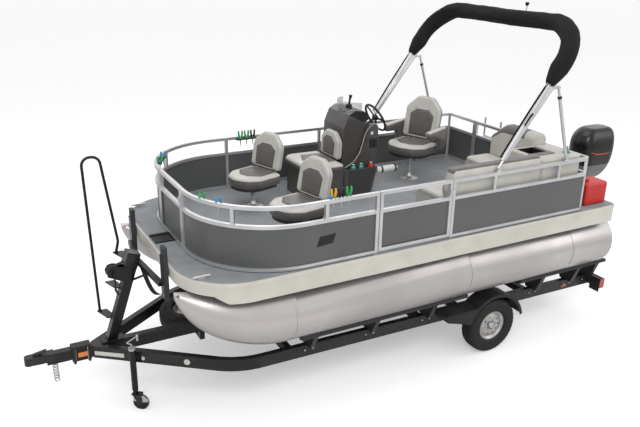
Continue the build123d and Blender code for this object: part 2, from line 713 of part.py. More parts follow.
def pedestal(x, y, stem_top):
    """Round seat post that flares out to a flange on the deck."""
    profile = outline((0, deck_top), (112, deck_top), (112, deck_top + 5), (72, deck_top + 14),
                      (46, deck_top + 32), (34, deck_top + 66), (29, deck_top + 72), (29, stem_top), (0, stem_top))
    return Pos(x, y, 0) * revolve(Plane.XZ * profile, Axis.Z)


def chair(x, y, heading, seat_top, back_top, seat_width, arms):
    """A deck chair drawn facing +X and then turned: pedestal, turning shell, seat and back pads."""
    half = seat_width / 2
    pan_top = seat_top - 100
    stem_top = pan_top - 66
    rise = back_top - seat_top - 26
    lean = Pos(-232, 0, seat_top + 24 + rise / 2) * Rot(0, -back_lean, 0)
    shell = block(-80, 80, -75, 75, stem_top + seat_gap, stem_top + 14)
    shell = shell + block(-150, 130, -110, 110, stem_top + 14, stem_top + 34)
    shell = shell + rod((90, 100, stem_top + 24), (150, 170, stem_top + 10), 7)
    shell = shell + Pos(0, 0, stem_top + 34) * extrude(seat_plan(half - 24, -185, 60, 175), amount=32)
    board = cross_form(back_face(seat_width - 80, rise - 40, seat_width * 0.36), -49, -36 - seat_gap)
    shell = shell + lean * board

    def board_x(z):
        return -232 - 42.5 / cos(radians(back_lean)) - (z - seat_top - 24 - rise / 2) * sin(radians(back_lean))

    knee = seat_top + 110
    strap = outline((-160, pan_top - 30), (-160, pan_top - 12), (-226, pan_top - 12), (-240, seat_top + 18),
                    (board_x(knee) + 2, knee), (board_x(knee) - 13, knee), (-255, seat_top + 14),
                    (-242, pan_top - 30))
    for side in (-1, 1):
        y_low = side * (half - 95) - 15
        shell = shell + side_form(strap, y_low, y_low + 30)
    cushion = Pos(0, 0, pan_top + seat_gap) * extrude(seat_plan(half, -205, 60, 200), amount=120 - seat_gap)
    cushion = fillet(cushion.edges().group_by(Axis.Z)[-1], 28)
    cushion = fillet(cushion.edges().group_by(Axis.Z)[0], 14)
    back = fillet(cross_form(back_face(seat_width - 30, rise, seat_width * 0.38), -36, 36).edges(), 24)
    pads = [cushion, lean * back]
    if arms:
        beam = seat_top + 85
        shell = shell + block(board_x(beam) - 14, board_x(beam) + 4, -half - 50, half + 50, beam - 15, beam + 15)
        rest = outline((-258, seat_top + 40), (-205, seat_top - 60), (-140, seat_top - 60), (-110, seat_top + 88),
                       (110, seat_top + 104), (140, seat_top + 190), (-250, seat_top + 205))
        for side in (-1, 1):
            y_low = side * (half + 41) - 35
            pads.append(fillet(side_form(rest, y_low, y_low + 70).edges(), 12))
    place = Pos(x, y, 0) * Rot(0, 0, heading)
    return pedestal(x, y, stem_top), place * shell, [place * (pad - shell) for pad in pads]


def console():
    """Helm console: tapered body with a side tray, the dash under its hood, and a rounded fin to port."""
    aft, front, rim = console_aft, console_front, tray_rim
    centre_x = (aft + front) / 2
    centre_y = (console_port + console_starboard) / 2
    breadth = console_port - console_starboard
    foot = Pos(centre_x + 15, centre_y, deck_top) * RectangleRounded(front - aft - 80, breadth - 80, 40)
    top = Pos(centre_x, centre_y, rim) * RectangleRounded(front - aft, breadth, 45)
    body = loft([foot, top])
    fin_face = console_port - fin_inset
    body = body - block(aft + 36, front - 40, fin_face + 6, console_port - 14, rim - 50, rim + 1)
    dash = outline((aft + 50, rim - 10), (front - 30, rim - 10), (front - 50, rim + 440), (front - 110, rim + 580),
                   (front - 190, rim + 625), (aft + 150, rim + 612), (aft + 80, rim + 555), (aft + 72, rim + 522),
                   (aft + 140, rim + 485), (aft + 85, rim + 385), (aft + 62, rim + 250))
    body = body + side_form(dash, console_starboard + 20, fin_face - fin_thickness)
    fin = make_face(
        Polyline((front - 60, rim - 2), (aft + 2, rim - 2), (aft - 32, rim + 250), (aft - 30, rim + 390))
        + ThreePointArc((aft - 30, rim + 390), (aft + 34, rim + 466), (aft + 112, rim + 410))
        + ThreePointArc((aft + 112, rim + 410), (aft + 205, rim + 150), (front - 60, rim - 2)))
    body = body + side_form(fin, fin_face - fin_thickness, fin_face)
    x, y, z = helm_centre
    away = (sin(radians(helm_tilt)), -cos(radians(helm_tilt)))
    near = column_reach + seat_gap
    far = column_reach + 145
    column = rod((x + away[0] * near, y, z + away[1] * near), (x + away[0] * far, y, z + away[1] * far), 30)
    return body + column


def windscreen():
    """Low curved screen that stands on the dash."""
    near = console_starboard + 40
    far = console_port - fin_inset - fin_thickness - 15
    arc = ThreePointArc((1890, near, 0), (2050, (near + far) / 2, 0), (1890, far, 0))
    section = Plane(origin=arc @ 0, x_dir=Vector(0, 0, 1), z_dir=arc % 0) * Rectangle(190, 6)
    return Pos(0, 0, tray_rim + 610) * sweep(section, path=arc) - console()


def console_seat():
    """Forward lounge seat built against the console: moulded box, cushion and back pad."""
    starboard = console_starboard - 30
    port = console_port - 30
    y = (starboard + port) / 2
    breadth = port - starboard
    seat_low = tray_rim
    box = block(console_front + seat_gap, console_front + 420, starboard, port, deck_top, seat_low)
    box = fillet(box.edges().filter_by(Axis.Z).group_by(Axis.X)[-1], 60)
    plan = Rectangle(447, breadth + 30)
    plan = fillet(plan.vertices().group_by(Axis.X)[-1], 110)
    cushion = extrude(Pos(console_front + 226, y, seat_low + seat_gap) * plan, amount=85 - seat_gap)
    cushion = fillet(cushion.edges().group_by(Axis.Z)[-1], 26)
    rise = 300.0
    slope = degrees(atan(20 / 450))
    back = fillet(cross_form(back_face(400, rise, 130), -36, 36).edges(), 22)
    back = Pos(console_front - 4, y, seat_low + 85 + 1.5 + rise / 2) * Rot(0, -slope, 0) * back
    return box, [cushion, back - console()]


def steering_wheel():
    """Three spoke wheel on a tilted shaft."""
    wheel = Torus(170, 13) + Cylinder(38, 40) + Pos(0, 0, -column_reach / 2) * Cylinder(14, column_reach)
    for turn in (90, 210, 330):
        wheel = wheel + Rot(0, 0, turn) * Pos(95, 0, 0) * Box(170, 26, 10)
    return Pos(*helm_centre) * Rot(0, -helm_tilt, 0) * wheel


def lounge():
    """Port lounge: seat base along the side and the stern, moulded corner with tray and cup holder, and pads."""
    outer = lounge_outer
    inner = outer - lounge_depth
    corner_x = 650.0
    corner_y = inner + 80
    low = lounge_seat + seat_gap
    base = block(80, 1790, inner, outer, deck_top, lounge_seat)
    base = base + block(80, corner_x - 10, -60, inner, deck_top, lounge_seat)
    base = base - block(700, 1791, inner - 1, inner + 45, deck_top - 1, deck_top + 90)
    module = block(80, corner_x, corner_y, outer, lounge_seat - 1, lounge_back - 40)
    module = fillet(module.edges().filter_by(Axis.Z), 50)
    module = fillet(module.edges().group_by(Axis.Z)[-1], 24)
    module = module - block(370, 600, corner_y + 50, corner_y + 260, lounge_back - 100, lounge_back)
    module = module - Pos(190, outer - 120, lounge_back - 40) * Cylinder(42, 160)
    stern_seat = block(305, corner_x, -60, corner_y - 5, low, lounge_seat + 70)
    side_seat = block(corner_x + 5, 1800, inner - 5, outer - 145, low, lounge_seat + 70)
    pads = []
    for pad in (stern_seat, side_seat):
        pad = fillet(pad.edges().filter_by(Axis.Z), 40)
        pads.append(fillet(pad.edges().group_by(Axis.Z)[-1], 24))
    back = outline((corner_x + 5, low), (1790, low), (1832, lounge_seat + 150), (1795, lounge_back),
                   (corner_x + 5, lounge_back))
    pads.append(fillet(side_form(back, outer - 140, outer - 2).edges(), 26))
    roll = Pos(192, (low + lounge_back + 80) / 2) * RectangleRounded(214, lounge_back + 80 - low, 85)
    roll = side_form(roll, -60, corner_y - 8)
    pads.append(fillet(roll.edges().group_by(Axis.Y)[0] + roll.edges().group_by(Axis.Y)[-1], 22))
    return base + module, pads


def hoop(x_foot, spread, height, lean):
    """Plan points of one canopy bow, leaning aft from its foot."""
    corner = 300.0
    return [(x_foot, -spread, 0), (x_foot - lean, -spread, height), (x_foot - lean, spread, height),
            (x_foot, spread, 0)], [corner, corner]


def bimini():
    """Canopy bows folded together and stood up with an all-round light, and the cloth in its boot."""
    rise = bimini_top - bimini_foot_z
    lean = rise * bimini_slope
    reach = bimini_half + 150
    frame = None
    bores = None
    for shift in (0.0, bow_pitch):
        points, radii = hoop(bimini_foot_x + shift, bimini_half, rise, lean)
        bow = Pos(0, 0, bimini_foot_z) * swept(points, radii, Circle(bow_radius), level=False)
        bore = Pos(0, 0, bimini_foot_z) * swept(points, radii, Circle(bow_radius + seat_gap), level=False)
        if shift > 0:
            bow = bow - block(bimini_foot_x - 100, bimini_foot_x + 100, -reach, reach,
                              bimini_foot_z - 50, bimini_foot_z + 120)
        frame = bow if frame is None else frame + bow
        bores = bore if bores is None else bores + bore
    head_x, head_z = prop_head
    share = (head_z - bimini_foot_z) / rise
    light_x = bimini_foot_x - lean
    light = rod((light_x - 12, light_y, bimini_top - 10), (light_x - 20, light_y, bimini_top + 170), 8)
    slip = rod((light_x - 12, light_y, bimini_top - 10), (light_x - 20, light_y, bimini_top + 170), 8 + seat_gap)
    for side in (-1, 1):
        y = side * bimini_half
        frame = frame + Pos(bimini_foot_x, y, bimini_foot_z) * Rot(90, 0, 0) * Cylinder(14, 30)
        frame = frame - Pos(bimini_foot_x, y, bimini_foot_z) * Rot(90, 0, 0) * Cylinder(pivot_pin + pivot_play, 40)
        low = bimini_foot_z + 134
        frame = frame + bar((bimini_foot_x - 96, y, low), (bimini_foot_x - 50, y, low), 16, 24)
        frame = frame + bar((head_x + 26, y, head_z + 6), (bimini_foot_x - lean * share, y, head_z - 16), 20, 24)
    frame = frame + light
    middle = bimini_foot_x + bow_pitch / 2
    start = (middle - lean * boot_share, rise * boot_share)
    points = [(start[0], -bimini_half, start[1]), (middle - lean, -bimini_half, rise),
              (middle - lean, bimini_half, rise), (start[0], bimini_half, start[1])]
    boot = Pos(0, 0, bimini_foot_z) * swept(points, [300, 300], Circle(boot_radius), level=False)
    down = Vector(lean, 0, -rise)
    for side in (-1, 1):
        end = Plane(origin=(start[0], side * bimini_half, bimini_foot_z + start[1]), z_dir=down)
        boot = boot + end.location * Pos(0, 0, 60) * Cone(boot_radius, 34, 120)
    return frame, boot - bores - slip


def bimini_prop(side):
    """One rear prop, hinged at its foot, with the eye that clips to the bows at its upper end."""
    y = side * bimini_half
    head_x, head_z = prop_head
    prop = rod((prop_foot_x, y, bimini_foot_z), (head_x, y, head_z), 12)
    prop = prop + Pos(prop_foot_x, y, bimini_foot_z) * Rot(90, 0, 0) * Cylinder(14, 30)
    prop = prop - Pos(prop_foot_x, y, bimini_foot_z) * Rot(90, 0, 0) * Cylinder(pivot_pin + pivot_play, 40)
    return prop + Pos(head_x, y, head_z) * Rot(90, 0, 0) * Cylinder(18, 20)


def bimini_feet():
    """Fixed clevis brackets on the top rail for the bows and for the props."""
    rail_face = deck_top + fence_height
    made = []
    for x in (bimini_foot_x, prop_foot_x):
        for side in (-1, 1):
            y = side * bimini_half
            foot = block(x - 30, x + 30, y - 20, y + 20, rail_face, rail_face + 12)
            for low in (y - 19.5, y + 15.5):
                foot = foot + block(x - 14, x + 14, low, low + 4, rail_face, bimini_foot_z + 12)
            foot = foot + Pos(x, y, bimini_foot_z) * Rot(90, 0, 0) * Cylinder(pivot_pin, 39)
            made.append(foot)
    return made


def motor():
    """Outboard: clamp on the transom, tilting bracket, and the steered powerhead and leg."""
    tilt_x, tilt_z = tilt_axis
    low = transom_top - 29
    collar_low = low - 7
    bracket_top = collar_low - 6
    pod = outline((-320, deck_top - deck_thickness), (-320, 1200), (-960, 960), (transom_x, 960),
                  (transom_x, transom_top), (transom_x + 45, transom_top), (transom_x + 45, 1300),
                  (deck_stern + 20, 1420), (deck_stern + 20, deck_top - deck_thickness))
    pod = side_form(pod, -pod_half_width, pod_half_width)
    for x in channel_stations():
        if x < 0:
            pod = pod - block(x - channel_width, x + channel_width, -400, 400,
                              deck_top - deck_thickness - channel_height - 1, deck_top)
    clamp = None
    for side in (-1, 1):
        y_low = side * 105 - (18 if side > 0 else 0)
        cheek = outline((transom_x, 1180), (transom_x, transom_top), (transom_x + 45, transom_top),
                        (transom_x + 45, 1340), (transom_x + 62, 1340), (transom_x + 62, transom_top + 18),
                        (tilt_x + 30, tilt_z + 32), (tilt_x - 32, tilt_z + 30),
                        (transom_x - 60, 1400), (transom_x - 40, 1180))
        cheek_solid = side_form(cheek, y_low, y_low + 18)
        clamp = cheek_solid if clamp is None else clamp + cheek_solid
    clamp = clamp + Pos(tilt_x, 0, tilt_z) * Rot(90, 0, 0) * Cylinder(14, 210)
    arm = outline((tilt_x + 26, tilt_z + 20), (tilt_x - 40, tilt_z + 26), (steer_axis_x - 20, bracket_top),
                  (steer_axis_x - 20, 1320), (steer_axis_x + 74, 1310), (tilt_x - 37, tilt_z - 100),
                  (tilt_x + 10, tilt_z - 22))
    swivel = side_form(arm, -50, 50) + Pos(steer_axis_x, 0, bracket_top - 130) * Cylinder(34, 260)
    swivel = swivel + Pos(tilt_x, 0, tilt_z) * Rot(90, 0, 0) * Cylinder(24, 156)
    swivel = swivel - Pos(tilt_x, 0, tilt_z) * Rot(90, 0, 0) * Cylinder(14.4, 300)
    swivel = swivel - Pos(steer_axis_x, 0, 1262) * Cylinder(15.4, 400)
    swivel = swivel - Pos(steer_axis_x, 0, bracket_top + 75) * Cylinder(75, 150)
    # height above the cowl's foot, length, width, corner radius, shift forward
    sections = [
        (0, 330, 200, 60, 60),
        (99, 480, 300, 110, 25),
        (259, 570, 360, 150, 0),
        (459, 575, 370, 150, 0),
        (585, 500, 310, 120, -14),
        (649, 300, 190, 75, -34),
    ]
    faces = []
    for height, length, width, corner, shift in sections:
        faces.append(Pos(motor_x + shift, 0, low + height) * RectangleRounded(length, width, corner))
    cowl = loft(faces)
    leg = loft([Pos(motor_x + 40, 0, low) * Ellipse(120, 70), Pos(motor_x + 20, 0, 1150) * Ellipse(110, 48),
                Pos(motor_x + 10, 0, propeller_z + 155) * Ellipse(110, 36)])
    for collar in (collar_low, bracket_top - 278):
        leg = leg + block(motor_x + 20, steer_axis_x + 20, -36, 36, collar, collar + 7)
    leg = leg + Pos(steer_axis_x, 0, (collar_low + bracket_top - 271) / 2) * Cylinder(15, 291)
    plate = Pos(motor_x - 20, 0, propeller_z + 150) * extrude(Ellipse(240, 105), amount=12)
    case = rod((motor_x - 110, 0, propeller_z), (motor_x + 190, 0, propeller_z), 46)
    fin = outline((motor_x + 130, propeller_z + 151), (motor_x + 110, propeller_z - 75),
                  (motor_x + 20, propeller_z - 175), (motor_x - 60, propeller_z - 165),
                  (motor_x - 80, propeller_z - 75), (motor_x - 90, propeller_z + 151))
    leg = leg + plate + case + side_form(fin, -14, 14)
    return pod, clamp, swivel, cowl, leg


def propeller():
    """Three blades on a hub behind the gear case."""
    x = motor_x - 110 - seat_gap
    screw = rod((x - 110, 0, propeller_z), (x, 0, propeller_z), 42)
    blade = Pos(0, 0, 88) * Rot(0, 0, 32) * Box(8, 96, 104)
    for turn in (0, 120, 240):
        screw = screw + Pos(x - 55, 0, propeller_z) * Rot(turn, 0, 0) * blade
    return screw


def fuel_tank():
    """Portable tank with a filler cap, on the aft deck to port."""
    can = block(-440, -110, deck_half_width - 360, deck_half_width - 120, deck_top, deck_top + 250)
    can = fillet(can.edges(), 28)
    return can + Pos(-200, deck_half_width - 240, deck_top + 262) * Cylinder(42, 40)


def tail_lights():
    """Lamp boxes on brackets outside the side rails, each with a blade hanging below."""
    made = []
    for side in (-1, 1):
        y = side * (rail_y + rail_width / 2)
        far = side * (tyre_y + 87)
        near = far - side * 200
        bracket = block(rail_stern + 100, rail_stern + 106, min(y, far), max(y, far), 420, 505)
        lamp = block(rail_stern + 30, rail_stern + 100, min(near, far), max(near, far), 410, 525)
        blade = block(rail_stern + 70, rail_stern + 76, min(near, far) + 30, max(near, far) - 30, 345, 411)
        made.append(bracket + lamp + blade)
    return made


def safety_chains():
    """Two short chains of round links hung from the tongue behind the coupler."""
    made = []
    pitch = 29.4
    for side in (-1, 1):
        for index in range(6):
            link = Rot(90, 0, 90 * (index % 2)) * Torus(20, 5)
            made.append(Pos(coupler_tip - 260, side * 24, tongue_top - 125.3 - pitch * index) * link)
    return made


def deck_fittings():
    """Bow tray, mooring cleats, the ladder's ears, the small racks on the rails and the extinguisher."""
    tray = block(4115, 4395, -150, 70, deck_top, deck_top + 14)
    tray = tray - block(4140, 4396, -120, 40, deck_top + 4, deck_top + 20)
    made = [tray]
    # x, side, distance in from the deck's edge
    for x, side, inboard in ((4270, 1, 235), (4270, -1, 235), (-380, 1, 500), (-380, -1, 140)):
        y = side * (deck_half_width - inboard)
        post = block(x - 30, x + 30, y - 10, y + 10, deck_top, deck_top + 26)
        horn = rod((x - 75, y, deck_top + 32), (x + 75, y, deck_top + 32), 10)
        made.append(post + horn)
    pivot_x, pivot_z = ladder_pivot
    ear = outline((-430, deck_top), (-484, deck_top), (-484, deck_top + 4), (pivot_x - 17, deck_top + 8),
                  (pivot_x - 17, pivot_z + 18), (pivot_x + 17, pivot_z + 18), (-430, deck_top + 10))
    for y in (ladder_y - 180, ladder_y + 172):
        solid = side_form(ear, y, y + 8) - Pos(pivot_x, y, pivot_z) * Rot(90, 0, 0) * Cylinder(8.05, 60)
        made.append(solid)
    rail_low = deck_top + fence_height - 30
    inner = fence_outer - tube
    # x, side, length
    for x, side, length in ((2960.0, -1, 250.0), (3020.0, 1, 260.0)):
        near, far = sorted((side * inner, side * (inner - 58)))
        rack = block(x - length / 2, x + length / 2, near, far, rail_low, rail_low + 12)
        for hole in (-0.3, 0.0, 0.3):
            rack = rack - Pos(x + hole * length, side * (inner - 32), rail_low) * Cylinder(14, 60)
        made.append(rack)
    bottle_y = console_port - 60
    bottle_z = tray_rim - 62
    bottle = rod((console_aft - 240, bottle_y, bottle_z), (console_aft + 3, bottle_y, bottle_z), 38)
    bottle = bottle + rod((console_aft - 285, bottle_y, bottle_z), (console_aft - 235, bottle_y, bottle_z), 15)
    made.append(bottle - console())
    return made


def boarding_ladder():
    """Folding ladder stood up behind the aft fence: two stiles cranked to the pivot, three treads."""
    pivot_x, pivot_z = ladder_pivot
    top = deck_top + 540
    ladder = Pos(pivot_x, ladder_y, pivot_z) * Rot(90, 0, 0) * Cylinder(8, 370)
    for y in (ladder_y - 150, ladder_y + 150):
        points = [(pivot_x, y, pivot_z), (ladder_x, y, pivot_z + 70), (ladder_x, y, top)]
        ladder = ladder + swept(points, [40], Circle(13), level=False)
    for z in (top - 400, top - 250, top - 100):
        ladder = ladder + block(ladder_x - 14, ladder_x + 14, ladder_y - 150, ladder_y + 150, z - 12, z + 12)
    return ladder


def build():
    """Every node's solids, in the drawing's own place."""
    nodes = {}
    board, skirt, channels = deck_parts()
    nodes["deck"] = [board]
    nodes["deck_skirt"] = [skirt]
    nodes["cross_channels"] = channels
    nodes["pontoon_port"] = [pontoon(1)]
    nodes["pontoon_starboard"] = [pontoon(-1)]
    rails, panels = fence_parts()
    for name, run in zip(fence_sections(), rails):
        nodes["fence_" + name] = [run]
    nodes["fence_panels"] = panels
    nodes.update(gates())
    clamp, leg, wheel = jack()
    nodes["trailer_frame"] = [trailer_frame() + clamp]
    nodes["jack_leg"] = [leg]
    nodes["jack_wheel"] = [wheel]
    nodes["coupler"] = tongue_and_coupler()
    nodes["safety_chains"] = safety_chains()
    nodes["axle"] = [axle()]
    nodes["fenders"] = fenders()
    nodes["bunks"] = bunks() + bow_stops()
    nodes["bunk_brackets"] = bunk_brackets()
    nodes["winch_stand"] = [winch_stand(), step_handrail()]
    nodes["winch"] = [winch()]
    nodes["tail_lights"] = tail_lights()
    for name, side in (("port", 1), ("starboard", -1)):
        tyre, rim = wheel_parts((wheel_x, side * tyre_y, tyre_radius), Rot(-90 * side, 0, 0))
        nodes["tyre_" + name] = [tyre]
        nodes["rim_" + name] = [rim]
    tyre, rim = wheel_parts(spare_centre, Rot(0, 0, 0))
    nodes["spare_tyre"] = [tyre]
    nodes["spare_rim"] = [rim]
    # name, x, y, heading, seat height, back height, width, armrests
    chairs = [
        ("bow_starboard", 3158.0, 680 - fence_outer, 18.0, 1880.0, 2260.0, 460.0, False),
        ("bow_port", 3150.0, fence_outer - 670, 12.0, 1880.0, 2260.0, 460.0, False),
        ("helm", 1040.0, 579 - fence_outer, 20.0, 1960.0, 2460.0, 520.0, True),
    ]
    pedestals = []
    for name, x, y, heading, seat_top, back_top, width, arms in chairs:
        base, shell, pads = chair(x, y, heading, seat_top, back_top, width, arms)
        pedestals.append(base)
        nodes["chair_shell_" + name] = [shell]
        nodes["chair_pads_" + name] = pads
    nodes["chair_pedestals"] = pedestals
    nodes["console"] = [console()]
    nodes["windscreen"] = [windscreen()]
    nodes["steering_wheel"] = [steering_wheel()]
    box, pads = console_seat()
    nodes["console_seat_box"] = [box]
    nodes["console_seat_pads"] = pads
    base, pads = lounge()
    nodes["lounge_base"] = [base]
    nodes["lounge_pads"] = pads
    frame, boot = bimini()
    nodes["bimini_bows"] = [frame]
    nodes["bimini_boot"] = [boot]
    nodes["bimini_prop_port"] = [bimini_prop(1)]
    nodes["bimini_prop_starboard"] = [bimini_prop(-1)]
    nodes["bimini_feet"] = bimini_feet()
    pod, clamp, swivel, cowl, leg = motor()
    nodes["motor_pod"] = [pod]
    nodes["motor_clamp"] = [clamp]
    nodes["motor_swivel"] = [swivel]
    nodes["motor_cowl"] = [cowl]
    nodes["motor_leg"] = [leg]
    nodes["propeller"] = [propeller()]
    nodes["fuel_tank"] = [fuel_tank()]
    nodes["deck_fittings"] = deck_fittings()
    nodes["boarding_ladder"] = [boarding_ladder()]
    return nodes


def midship(nodes):
    """Half way between the foremost and the aftmost point of the whole."""
    boxes = [solid.bounding_box() for solids in nodes.values() for solid in solids]
    return (min(box.min.X for box in boxes) + max(box.max.X for box in boxes)) / 2


all_nodes = build()
origin_x = midship(all_nodes)
print("origin at x =", round(origin_x, 3))
for node_name, node_solids in all_nodes.items():
    moved = [Pos(-origin_x, 0, 0) * solid for solid in node_solids]
    shape = moved[0] if len(moved) == 1 else Compound(children=moved)
    export_step(shape, "parts/" + node_name + ".step")
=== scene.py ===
import bmesh
import bpy
from math import acos, cos, exp, pi, radians, sin, tan
from mathutils import Matrix, Vector, noise


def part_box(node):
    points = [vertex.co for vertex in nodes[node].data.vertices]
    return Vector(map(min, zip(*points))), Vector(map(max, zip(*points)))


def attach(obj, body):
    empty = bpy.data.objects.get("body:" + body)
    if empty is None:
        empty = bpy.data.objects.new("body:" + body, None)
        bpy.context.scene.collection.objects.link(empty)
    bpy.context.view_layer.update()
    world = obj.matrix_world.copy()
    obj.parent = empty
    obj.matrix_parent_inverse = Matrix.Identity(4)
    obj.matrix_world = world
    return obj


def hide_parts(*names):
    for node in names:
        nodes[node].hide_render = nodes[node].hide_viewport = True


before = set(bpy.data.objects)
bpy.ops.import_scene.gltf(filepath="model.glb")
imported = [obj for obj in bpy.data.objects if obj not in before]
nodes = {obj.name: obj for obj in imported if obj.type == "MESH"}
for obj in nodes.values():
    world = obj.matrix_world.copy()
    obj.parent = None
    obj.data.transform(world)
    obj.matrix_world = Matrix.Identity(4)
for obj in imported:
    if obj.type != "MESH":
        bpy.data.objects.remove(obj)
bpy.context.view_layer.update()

# Stations are given as on the boat's own layout: metres forward of the aft fence.
FENCE_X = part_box("coupler")[1][0] - 5.651
DECK_Z = 1.520
RAIL_TOP = 2.120
MID_RAIL = 1.934
BOAT = "boat_on_trailer"

CHARCOAL = (0.105, 0.094, 0.088)
LIGHT = (0.53, 0.515, 0.475)
CREAM = (0.60, 0.58, 0.52)
SHEET_GREY = (0.096, 0.100, 0.096)


def at(x, y, z):
    """A point of the layout, in the frame."""
    return Vector((x + FENCE_X, y, z))


# Shader groups.
COLOUR, VALUE = "NodeSocketColor", "NodeSocketFloat"
MID_GREY = (0.5, 0.5, 0.5, 1)
DUST_COLOUR = (0.42, 0.40, 0.37)
SECOND_SHADE = 0.88
BUMP_STRENGTH = 0.6
EDGE_BLEND = 0.001


def put(tree, socket, value):
    """Sets an input, or joins it to an output."""
    if isinstance(value, bpy.types.NodeSocket):
        tree.links.new(value, socket)
    else:
        socket.default_value = value


def node(tree, kind, **inputs):
    """A shader node with its inputs set or joined; an underscore stands for a space in their names."""
    made = tree.nodes.new("ShaderNode" + kind)
    for key, value in inputs.items():
        put(tree, made.inputs[key.replace("_", " ")], value)
    return made


def make_group(name, inputs, outputs):
    """An empty shader group with named sockets: its tree, what it is given and what it gives out."""
    tree = bpy.data.node_groups.new(name, "ShaderNodeTree")
    for label, kind, value in inputs:
        socket = tree.interface.new_socket(label, in_out="INPUT", socket_type=kind)
        socket.default_value = value
    for label, kind in outputs:
        tree.interface.new_socket(label, in_out="OUTPUT", socket_type=kind)
    return tree, tree.nodes.new("NodeGroupInput").outputs, tree.nodes.new("NodeGroupOutput").inputs


def noise_value(tree, scale, detail, stretch=None):
    """Noise over the object's own coordinates, drawn out along an axis when asked."""
    where = node(tree, "TexCoord").outputs["Object"]
    if stretch:
        where = node(tree, "Mapping", Vector=where, Scale=stretch).outputs["Vector"]
    return node(tree, "TexNoise", Vector=where, Scale=scale, Detail=detail).outputs["Fac"]


def math_node(tree, kind, first, second):
    """One sum on two values or sockets."""
    made = tree.nodes.new("ShaderNodeMath")
    made.operation = kind
    for socket, value in zip(made.inputs, (first, second)):
        put(tree, socket, value)
    return made.outputs[0]


def mix_colour(tree, factor, first, second):
    """A colour between two, by a mask."""
    made = tree.nodes.new("ShaderNodeMix")
    made.data_type = "RGBA"
    put(tree, made.inputs["Factor"], factor)
    for key, value in (("A", first), ("B", second)):
        put(tree, made.inputs[key], (*value, 1.0) if isinstance(value, tuple) else value)
    return made.outputs["Result"]


def ramp(tree, source, low, high):
    """A mask that rises from 0 to 1 between two values."""
    return node(tree, "MapRange", Value=source, From_Min=low, From_Max=high).outputs["Result"]


def mottle_group():
    """Two close tones in soft patches, for paint, moulded plastic and dull metal."""
    tree, given, out = make_group(
        "mottle", [("Colour", COLOUR, MID_GREY), ("Second Colour", COLOUR, MID_GREY), ("Scale", VALUE, 4.0)],
        [("Colour", COLOUR), ("Mask", VALUE)])
    mask = ramp(tree, noise_value(tree, given["Scale"], 5.0), 0.35, 0.65)
    put(tree, out["Colour"], mix_colour(tree, mask, given["Colour"], given["Second Colour"]))
    put(tree, out["Mask"], mask)
    return tree


def grain_group():
    """Fine pits and pebbles for moulded skins, cast metal and rubber."""
    tree, given, out = make_group("grain", [("Scale", VALUE, 400.0)], [("Height", VALUE)])
    put(tree, out["Height"], noise_value(tree, given["Scale"], 2.0))
    return tree


def brushed_group():
    """Long fine streaks of drawn or brushed metal."""
    tree, given, out = make_group("brushed", [("Scale", VALUE, 60.0)], [("Height", VALUE), ("Mask", VALUE)])
    streaks = noise_value(tree, given["Scale"], 4.0, stretch=(0.05, 1.0, 1.0))
    put(tree, out["Height"], streaks)
    put(tree, out["Mask"], ramp(tree, streaks, 0.3, 0.7))
    return tree


def weave_group():
    """Two sets of threads that cross: woven deck vinyl, canvas and webbing."""
    tree, given, out = make_group("weave", [("Scale", VALUE, 300.0)], [("Height", VALUE), ("Mask", VALUE)])
    where = node(tree, "TexCoord").outputs["Object"]
    threads = []
    for turn in (0.6, -0.6):
        turned = node(tree, "Mapping", Vector=where, Rotation=(0.5, 0.3, turn)).outputs["Vector"]
        wave = node(tree, "TexWave", Vector=turned, Scale=given["Scale"], Distortion=0.6)
        threads.append(wave.outputs["Fac"])
    height = math_node(tree, "MAXIMUM", *threads)
    put(tree, out["Height"], height)
    put(tree, out["Mask"], math_node(tree, "MULTIPLY", height, noise_value(tree, 6.0, 4.0)))
    return tree


def wear_group():
    """Rubbed corners: a lighter tone where the surface bends outward."""
    tree, given, out = make_group(
        "edge wear", [("Colour", COLOUR, MID_GREY), ("Worn Colour", COLOUR, MID_GREY), ("Amount", VALUE, 0.4)],
        [("Colour", COLOUR)])
    edge = ramp(tree, node(tree, "NewGeometry").outputs["Pointiness"], 0.53, 0.62)
    mask = math_node(tree, "MULTIPLY", edge, noise_value(tree, 30.0, 4.0))
    mask = math_node(tree, "MULTIPLY", mask, given["Amount"])
    put(tree, out["Colour"], mix_colour(tree, mask, given["Colour"], given["Worn Colour"]))
    return tree


def dust_group():
    """A thin pale film that lies on faces turned up."""
    tree, given, out = make_group("dust", [("Colour", COLOUR, MID_GREY), ("Amount", VALUE, 0.2)],
                                  [("Colour", COLOUR), ("Mask", VALUE)])
    split = node(tree, "SeparateXYZ", Vector=node(tree, "NewGeometry").outputs["Normal"])
    up = ramp(tree, split.outputs["Z"], 0.4, 1.0)
    film = math_node(tree, "MULTIPLY", up, ramp(tree, noise_value(tree, 9.0, 6.0), 0.3, 0.7))
    mask = math_node(tree, "MULTIPLY", film, given["Amount"])
    put(tree, out["Colour"], mix_colour(tree, mask, given["Colour"], DUST_COLOUR))
    put(tree, out["Mask"], mask)
    return tree


GROUPS = {"mottle": mottle_group(), "grain": grain_group(), "brushed": brushed_group(),
          "weave": weave_group(), "wear": wear_group(), "dust": dust_group()}


# Finishes.


